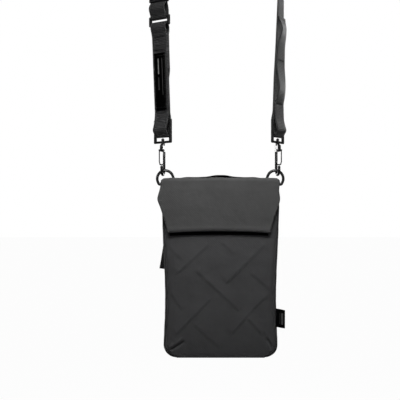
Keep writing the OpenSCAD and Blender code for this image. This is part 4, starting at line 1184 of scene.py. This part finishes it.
class POUCH_OT_flap(bpy.types.Operator):
    """Builds the flap in two pieces that meet on its top, and its dark facing"""

    bl_idname = "pouch.flap"
    bl_label = "Flap"

    def execute(self, context):
        seed = context.scene.pouch_stage.seed
        puff = context.scene.pouch_shape.flap_puff / MM
        done = finishes(context)
        quarter = math.pi / 2 * FOLD_BEND
        top = FOLD_BACK_Y - FOLD_FRONT_Y - 2 * FOLD_BEND
        half_way = FLAP_ROOT + quarter + top / 2
        whole = FLAP_ROOT + 2 * quarter + top + FOLD_Z - FOLD_BEND - HEM_Z

        def bent(y, a):
            return (y + FOLD_BEND * math.cos(a), FOLD_Z - FOLD_BEND + FOLD_BEND * math.sin(a),
                    (math.cos(a), math.sin(a)))

        def centre(t):
            """Depth, height and outward direction of the flap's middle at a distance t from its back root."""
            t -= FLAP_ROOT
            if t < 0:
                return FOLD_BACK_Y, FOLD_Z - FOLD_BEND + t, (1, 0)
            if t < quarter:
                return bent(FOLD_BACK_Y - FOLD_BEND, t / FOLD_BEND)
            t -= quarter
            if t < top:
                return FOLD_BACK_Y - FOLD_BEND - t, FOLD_Z, (0, 1)
            t -= top
            if t < quarter:
                return bent(FOLD_FRONT_Y + FOLD_BEND, math.pi / 2 + t / FOLD_BEND)
            return FOLD_FRONT_Y, FOLD_Z - FOLD_BEND - (t - quarter), (-1, 0)

        def strip(name, t_values, hem):
            """One part of the flap, with a rounded hem at its end where hem is true."""
            cols = 121
            spread = np.linspace(-1, 1, cols)
            outer, inner, flat = [], [], []
            for t in t_values:
                y, z, (oy, oz) = centre(t)
                width = float(flap_half(np.array(min(z, FOLD_Z - 1.0))))
                dent = 0.6 * math.exp(-((z - FLAP_DENT_Z) / 4.5) ** 2)
                high = float(smooth((z - FOLD_Z + 16) / 16))
                hung = min(1, max(0, (t - half_way) / (whole - half_way)))
                on_front = float(smooth((t - half_way - 8) / 14))
                swollen = puff * math.sin(math.pi * hung) ** 0.6
                end = math.sqrt(max(0, 1 - max(0, (2.2 - whole + t) / 2.2) ** 2)) if hem else 1
                drop = -1.8 * float(smooth(hung)) if hem else 0
                roll = 0.35 * math.exp(-((whole - t - 3.2) / 2.0) ** 2) if hem else 0
                for share in np.sin(spread * np.pi / 2) * 0.45 + spread * 0.55:
                    wide = abs(share)
                    x = share * width - (dent if share < 0 else 0) * wide ** 6 + float(flap_shift(z))
                    sag = (drop * share * share + high * 0.45 * noise.noise(Vector((x / 13, 3.3, seed)))
                           - high * (1.3 * float(smooth((wide - 0.94) / 0.06)) + 0.5 * share * share))
                    loose = (noise.noise(Vector((x / 30, t / 22, seed))) * 0.7
                             + noise.noise(Vector((x / 11, t / 16, seed + 4))) * 0.3)
                    side = (math.exp(-((1 - wide) * width / 9) ** 2)
                            * noise.noise(Vector((x / 40, t / 6.5, seed + 9))))
                    swell = (on_front * (swollen * (1 - wide ** 3) + 0.45 * loose + 0.5 * side)
                             + (1 - on_front) * 0.2 * loose)
                    rim = math.sqrt(max(0, 1 - max(0, (wide * width - width + 2.4) / 2.4) ** 2))
                    thick = FLAP_T / 2 * (0.25 + 0.75 * rim) * (0.2 + 0.8 * end)
                    up = thick + (swell + roll) * rim
                    deep = 0.92 * thick
                    outer.append((x, y + oy * up, z + oz * up + sag))
                    inner.append((x, y - oy * deep, z - oz * deep + sag))
                    flat.append((x, t))
            # The flap's lighter colour is painted light
            return new_piece(name, outer + inner, sheet_faces(len(t_values), cols), done["flap"], uv=flat + flat)

        rear = strip("flap_rear_fold", np.linspace(0, half_way, 30), False)
        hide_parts("flap_top")
        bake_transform(rear)
        front = strip("flap_front_cloth", np.linspace(half_way, whole, 96), True)
        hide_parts("flap_front")
        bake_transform(front)
        self.facing(done)
        return {"FINISHED"}

    @staticmethod
    def facing(done):
        """The dark facing behind the flap, which shows as a band below its hem: a near-black band of painted shadow
        under the flap's edge.
        """
        low = HEM_Z - SHADOW_BAND_DROP
        high = FOLD_Z - 5.2

        def half(z):
            return flap_half(np.maximum(z, HEM_Z)) - 2.4

        def front(x, z):
            rim = edge_fade(x, z, half, low, high, 1.6)
            return FLAP_BACK_Y + 0.1 + 0.55 * (1 - rim) - 0.5 * smooth((HEM_Z - z) / 3) * rim

        def back(x, z):
            rim = edge_fade(x, z, half, low, high, 1.6)
            return FACING_Y - 0.05 - 0.45 * (1 - rim)

        # Below the hem this near-black band is painted shadow under the flap's edge
        piece = slab("flap_facing_cloth", half, even_rows(low, high, 50), 80, front, back, done["facing"])
        for v in piece.data.vertices:
            z = v.co.z / MM - BASE[2]
            v.co.x += float(flap_shift(z)) * MM
            rise = (1 - (v.co.x / MM / half(np.array(low))) ** 2) * smooth((HEM_Z + 8 - z) / 12)
            v.co.z += max(0, rise) * MM
        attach(piece, "flap_front")
        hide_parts("flap_facing")


class POUCH_OT_zip(bpy.types.Operator):
    """Builds the zip's tapes, teeth, slider and folded pull"""

    bl_idname = "pouch.zip"
    bl_label = "Zip"

    def execute(self, context):
        shape = context.scene.strap_shape
        done = finishes(context)
        half = box_mm("zip_tape")[1][0] - 0.1
        xs = np.linspace(-half, half, 120)
        for name, sign in (("zip_tape_upper", 1), ("zip_tape_lower", -1)):
            path = level_line(xs, 7.36 + 0.05 * np.sin(xs / 3), ZIP_UP + sign * 4.4)
            piece = tape(name, path, np.tile((0.0, 0, 1), (len(xs), 1)), 7.2, 0.5, done["zip_tape"])
            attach(piece, "pouch")
            if sign > 0:
                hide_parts("zip_tape")
        rows = [([(-half, 7.6, ZIP_UP + sign * 1.55), (half - 0.8 * (sign < 0), 7.6, ZIP_UP + sign * 1.55)], (0, 1, 0))
                for sign in (1, -1)]
        teeth = repeat_along("zip_teeth_row", rows, tooth_shape(), shape.tooth_pitch,
                             (0.9 * MM, 1.5 * MM, 0.7 * MM), done["plastic"])
        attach(teeth, "pouch")
        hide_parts("zip_teeth")
        recolour("zip_slider", done["metal"])
        self.pull(done)
        return {"FINISHED"}

    @staticmethod
    def pull(done):
        """A folded tape that hangs from the slider's crown, wider and stiffer towards its end."""
        lean = math.radians(7)
        down = np.array([-math.sin(lean), 0, -math.cos(lean)])
        side = np.array([math.cos(lean), 0, -math.sin(lean)])
        top = np.array([CROWN_X, CROWN_Y, ZIP_UP])
        points, flat = [], []
        stations = np.linspace(0.4, 34.4, 42)
        turns = [2 * math.pi * k / 16 for k in range(16)]
        for d in stations:
            wide = np.interp(d, (0, 3, 34.5), (3.1, 3.4, 5.8)) / 2 * (1.04 if d > 31 else 1)
            thick = np.interp(d, (0, 1.5, 30.6, 31.2, 34, 34.5), (0.8, 0.72, 0.75, 1.0, 1.0, 0.6))
            for c, s in ((math.cos(a), math.sin(a)) for a in turns):
                px = math.copysign(abs(c) ** 0.35, c) * wide
                py = math.copysign(abs(s) ** 0.6, s) * thick
                points.append(top + down * d + side * px + np.array([0, py, 0]))
                flat.append((px, d))
        faces = tube_faces(len(stations), len(turns))
        pull = new_piece("zip_pull_tape", points, faces, done["pull"], uv=flat)
        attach(pull, "zip_pull")
        low, high, count = CROWN_X - 1.75, CROWN_X + 1.75, 20
        profile = ((low, 1.05), (low + 0.25, 1.45), (high - 0.25, 1.45), (high, 1.05), (high, 0.8), (low, 0.8))
        turns = [2 * math.pi * k / count for k in range(count)]
        ring = [(x, CROWN_Y + r * math.cos(a), ZIP_UP + r * math.sin(a)) for x, r in profile for a in turns]
        uv = [(x, r * a) for x, r in profile for a in turns]
        after = len(profile)
        faces = [(i * count + k, i * count + (k + 1) % count, (i + 1) % after * count + (k + 1) % count,
                  (i + 1) % after * count + k) for i in range(after) for k in range(count)]
        sleeve = new_piece("zip_pull_sleeve", ring, faces, done["pull"], uv=uv)
        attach(sleeve, "zip_pull")
        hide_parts("zip_pull")


class POUCH_OT_rings(bpy.types.Operator):
    """Builds the folded tabs round the D rings and finishes the metal"""

    bl_idname = "pouch.rings"
    bl_label = "Tabs, Rings and Hooks"

    def execute(self, context):
        done = finishes(context)
        stitch_lines = []
        for side, s in (("left", -1), ("right", 1)):
            lean = math.radians(RING_LEAN) * s
            origin = np.array([s * (RING_X - 4 * math.sin(math.radians(RING_LEAN))), RING_Y, RING_BAR_Z])
            across = np.array([math.cos(lean), 0, -math.sin(lean)])
            up = np.array([math.sin(lean), 0, math.cos(lean)])
            flat_y = BACK_FACE_Y - RING_Y
            route = [(flat_y + 0.62, -TAB_L), (flat_y + 0.62, -4), (-TAB_R, -1.0)]
            route += [(-TAB_R * math.cos(math.radians(a)), TAB_R * math.sin(math.radians(a)))
                      for a in range(0, 181, 15)]
            route += [(TAB_R * 0.96, -1.2), (flat_y + 2.6, -4.2), (flat_y + 1.9, -6.5), (flat_y + 1.82, -TAB_L)]
            path = [origin + np.array([0, y, 0]) + up * z for y, z in route]
            path, wide = even_path(path, [across] * len(path), 0.8, blur=0.7)
            piece = tape(f"{side}_tab_tape", path, wide, TAB_W, 1.15, done["tab"])
            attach(piece, "pouch")
            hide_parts(f"{side}_tab")
            y = flat_y + 2.46
            x, z0, z1 = TAB_W / 2 - 1.6, -19.4, -8.2
            loop = [origin + across * a + up * z + np.array([0, y, 0])
                    for a, z in ((-x, z0), (x, z0), (x, z1), (-x, z1))]
            stitch_lines += [([loop[a], loop[b]], (0, 1, 0))
                             for a, b in ((0, 1), (1, 2), (2, 3), (3, 0), (0, 2), (1, 3))]
            recolour(f"{side}_d_ring", done["metal"])
            recolour(f"{side}_hook", done["metal"])
            recolour(f"{side}_gate", done["wire"])
            recolour(f"{side}_frame", done["plastic"])
        sewing = sewn("tab_stitches", stitch_lines, context, done["thread"], "pouch")
        recolour("body_magnet", done["magnet"])
        recolour("flap_magnet", done["magnet"])
        return {"FINISHED"}


class POUCH_OT_strap(bpy.types.Operator):
    """Builds the ribbed webbing of both straps, its tacks, and the sewn keeper"""

    bl_idname = "pouch.strap"
    bl_label = "Strap"

    def execute(self, context):
        shape = context.scene.strap_shape
        done = finishes(context)
        rib = shape.rib_height / MM
        tacks = []
        for name, route in (("label_strap", label_strap_route()), ("long_strap", long_strap_route())):
            path, across = even_path(*strap_path(route), 1.0, blur=0.9)
            band = tape(f"{name}_webbing", path, across, WEB_W - 0.3, WEB_T - 2 * rib + 0.12, done["webbing"])
            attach(band, "strap")
            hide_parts(name)
            face = np.cross(unit(np.gradient(path, axis=0)), across)
            lines = [(path + face * way * (WEB_T / 2 - rib), face * way) for way in (1, -1)]
            ribs = repeat_along(f"{name}_ribs", lines, rib_shape(), shape.rib_pitch,
                                (shape.rib_pitch * 0.97, WEB_W * MM, shape.rib_height), done["webbing"])
            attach(ribs, "strap")
        recolour("strap_ring", done["plastic"])
        recolour("strap_slider", done["plastic"])
        tack_s = END_S - TACK_Z
        for s, n in ((tack_s, LAYER_N), (tack_s - TACK_PITCH, LAYER_N), (tack_s - 2 * TACK_PITCH + 2.5, LAYER_N),
                     (LABEL_LOW - 3.5, LAYER_N), (LABEL_HIGH + 3, LAYER_N), (RING_LOW_Z - 13, LAYER_N)):
            middle, out, wide = strap_place(s)
            start = middle + out * (n + WEB_T / 2)
            tacks += [([start + wide * a + np.array([0, 0, dz]), start + wide * b + np.array([0, 0, dz])], out)
                      for a, b, dz in ((-6.5, 6.5, 0), (6.5, -6.5, 0.7))]
        sewing = repeat_along("strap_tacks", tacks, thread_shape(), 0.55 * MM, (1.3 * MM, 0.5 * MM, 0.6 * MM),
                              done["thread"])
        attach(sewing, "strap")
        self.keeper(done)
        return {"FINISHED"}

    @staticmethod
    def keeper(done):
        """A sewn loop of tape round both layers."""
        middle, out, wide = strap_place(KEEPER_Z)
        half_w, half_n, r = (WEB_W + 1) / 2 + 0.5, LAYER_N + WEB_T / 2 + 1.0, 1.0
        loop = []
        for cx, cn, a0 in ((half_w - r, half_n - r, 0), (-half_w + r, half_n - r, 90), (-half_w + r, -half_n + r, 180),
                           (half_w - r, -half_n + r, 270)):
            loop += [(cx + r * math.cos(math.radians(a0 + a)), cn + r * math.sin(math.radians(a0 + a)))
                     for a in range(0, 91, 18)]
        loop.append(loop[0])
        path = np.array([middle + wide * a + out * n for a, n in loop])
        path, across = even_path(path, [(0.0, 0, 1)] * len(path), 0.8)
        piece = tape("strap_keeper_tape", path, across, 6, 1.0, done["tab"])
        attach(piece, "strap")
        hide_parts("strap_keeper")


LABEL_LOW = TOP_BAR_Z + 11
LABEL_HIGH = LABEL_LOW + 61
LABEL_W = 15


class POUCH_OT_labels(bpy.types.Operator):
    """Builds the woven label on the strap and the folded label on the pouch's side, both without words"""

    bl_idname = "pouch.labels"
    bl_label = "Labels"

    def execute(self, context):
        done = finishes(context)
        colours = context.scene.pouch_colours
        n = LAYER_N + WEB_T / 2 + 0.25
        route = stretch((LABEL_LOW, n), (LABEL_HIGH, n), step=1.5)
        path, across = (np.array(v) for v in strap_path(route))
        stripes = ((0.0385, 0.0555, -0.0026, -0.0008, 0.6), (0.0215, 0.0355, -0.0026, -0.0008, 0.12),
                   (0.016, 0.0555, 0.0030, 0.0040, 0.2))
        weave = label_weave("label_damask_strap", colours.stripe, stripes)
        label = tape("strap_label_woven", path, across, LABEL_W, 0.7, weave)
        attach(label, "strap")
        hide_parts("strap_label")
        out = np.array([strap_place(s)[1] for s, _ in route])
        face, reach = path + out * 0.42, across * (LABEL_W / 2 - 0.9)
        border = [(face + edge * reach, out) for edge in (-1, 1)]
        border += [([face[k] - reach[k], face[k] + reach[k]], out[k]) for k in (2, -3)]
        sewn_border = sewn("label_stitches", border, context, done["thread"], "strap")
        self.side_label(colours)
        return {"FINISHED"}

    @staticmethod
    def side_label(colours):
        """A folded loop of woven label, a little curled at its free end."""
        low, high = box_mm("side_label")
        x0, x1 = low[0] - 1.4, high[0] - 0.4
        y = (low[1] + high[1]) / 2 - BASE[1]
        bottom, tall = 32.6, 19.2
        rows, cols = 26, 22
        front, back, flat = [], [], []
        for v in np.linspace(0, 1, rows):
            for u in np.linspace(0, 1, cols):
                x = x0 + (x1 - x0) * u
                z = bottom + tall * v - 1.8 * u + 0.25 * math.sin(math.pi * u) * (v - 0.5)
                curl = 0.9 * u * u * (v - 0.3) + 0.25 * math.sin(3.4 * v)
                edge = math.sqrt(max(0, 1 - max(0, abs(v - 0.5) * 2 - 0.9) ** 2 / 0.01))
                thick = 0.42 * (0.3 + 0.7 * edge) * (1.15 - 0.15 * math.cos(math.pi * u)) * (0.55 if u == 1 else 1)
                front.append((x, y - curl - thick, z))
                back.append((x, y - curl + thick, z))
                flat.append((x - x0, tall * v))
        stripes = ((0.0036, 0.0044, 0.0035, 0.0155, 0.1), (0.0052, 0.0076, 0.0035, 0.0155, 0.16))
        weave = label_weave("label_damask_side", colours.stripe, stripes)
        piece = new_piece("side_label_folded", front + back, sheet_faces(rows, cols), weave, uv=flat + flat)
        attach(piece, "pouch")
        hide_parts("side_label")


class POUCH_OT_sewing(bpy.types.Operator):
    """Sews the zip's two seams and the binding along the back edge"""

    bl_idname = "pouch.sewing"
    bl_label = "Sewing"

    def execute(self, context):
        done = finishes(context)
        lines = []
        for z in (ZIP_UP + ZIP_OPEN / 2 + 1.9, ZIP_UP - ZIP_OPEN / 2 - 1.9):
            half = float(flank(z)) - 4
            xs = np.linspace(-half, half, 40)
            lines.append((level_line(xs, BACK_FACE_Y + 0.12, z), (0, 1, 0)))
        low, high = box_mm("top_binding")
        xs = np.linspace(low[0] + 1.5, high[0] - 1.5, 40)
        lines.append((level_line(xs, 10.02, low[2] - BASE[2] + 1.6), (0, 1, 0)))
        rows = sewn("pouch_stitches", lines, context, done["thread"], "pouch")
        return {"FINISHED"}


STEPS = (POUCH_OT_stage, POUCH_OT_front, POUCH_OT_gusset, POUCH_OT_back, POUCH_OT_flap, POUCH_OT_zip,
         POUCH_OT_rings, POUCH_OT_strap, POUCH_OT_labels, POUCH_OT_sewing)
GROUPS = (("pouch_shape", PouchShape), ("strap_shape", StrapShape), ("pouch_colours", PouchColours),
          ("pouch_stage", StageShape))


class POUCH_PT_panel(bpy.types.Panel):
    """Lists the sizes, colours and building steps"""

    bl_idname = "POUCH_PT_panel"
    bl_label = "Phone Pouch"
    bl_space_type = "VIEW_3D"
    bl_region_type = "UI"
    bl_category = "Pouch"

    def draw(self, context):
        for name, group in GROUPS:
            box = self.layout.box()
            for key in group.__annotations__:
                box.prop(getattr(context.scene, name), key)
        for step in STEPS:
            self.layout.operator(step.bl_idname)


CLASSES = tuple(group for _, group in GROUPS) + STEPS + (POUCH_PT_panel,)


def register():
    for cls in CLASSES:
        bpy.utils.register_class(cls)
    for name, group in GROUPS:
        setattr(bpy.types.Scene, name, PointerProperty(type=group))


def unregister():
    for name, _ in GROUPS:
        delattr(bpy.types.Scene, name)
    for cls in reversed(CLASSES):
        bpy.utils.unregister_class(cls)


def main():
    register()
    for step in STEPS:
        kind, name = step.bl_idname.split(".")
        if getattr(getattr(bpy.ops, kind), name)() != {"FINISHED"}:
            raise RuntimeError(f"{step.bl_label} wasn't built")


if __name__ == "__main__":
    main()
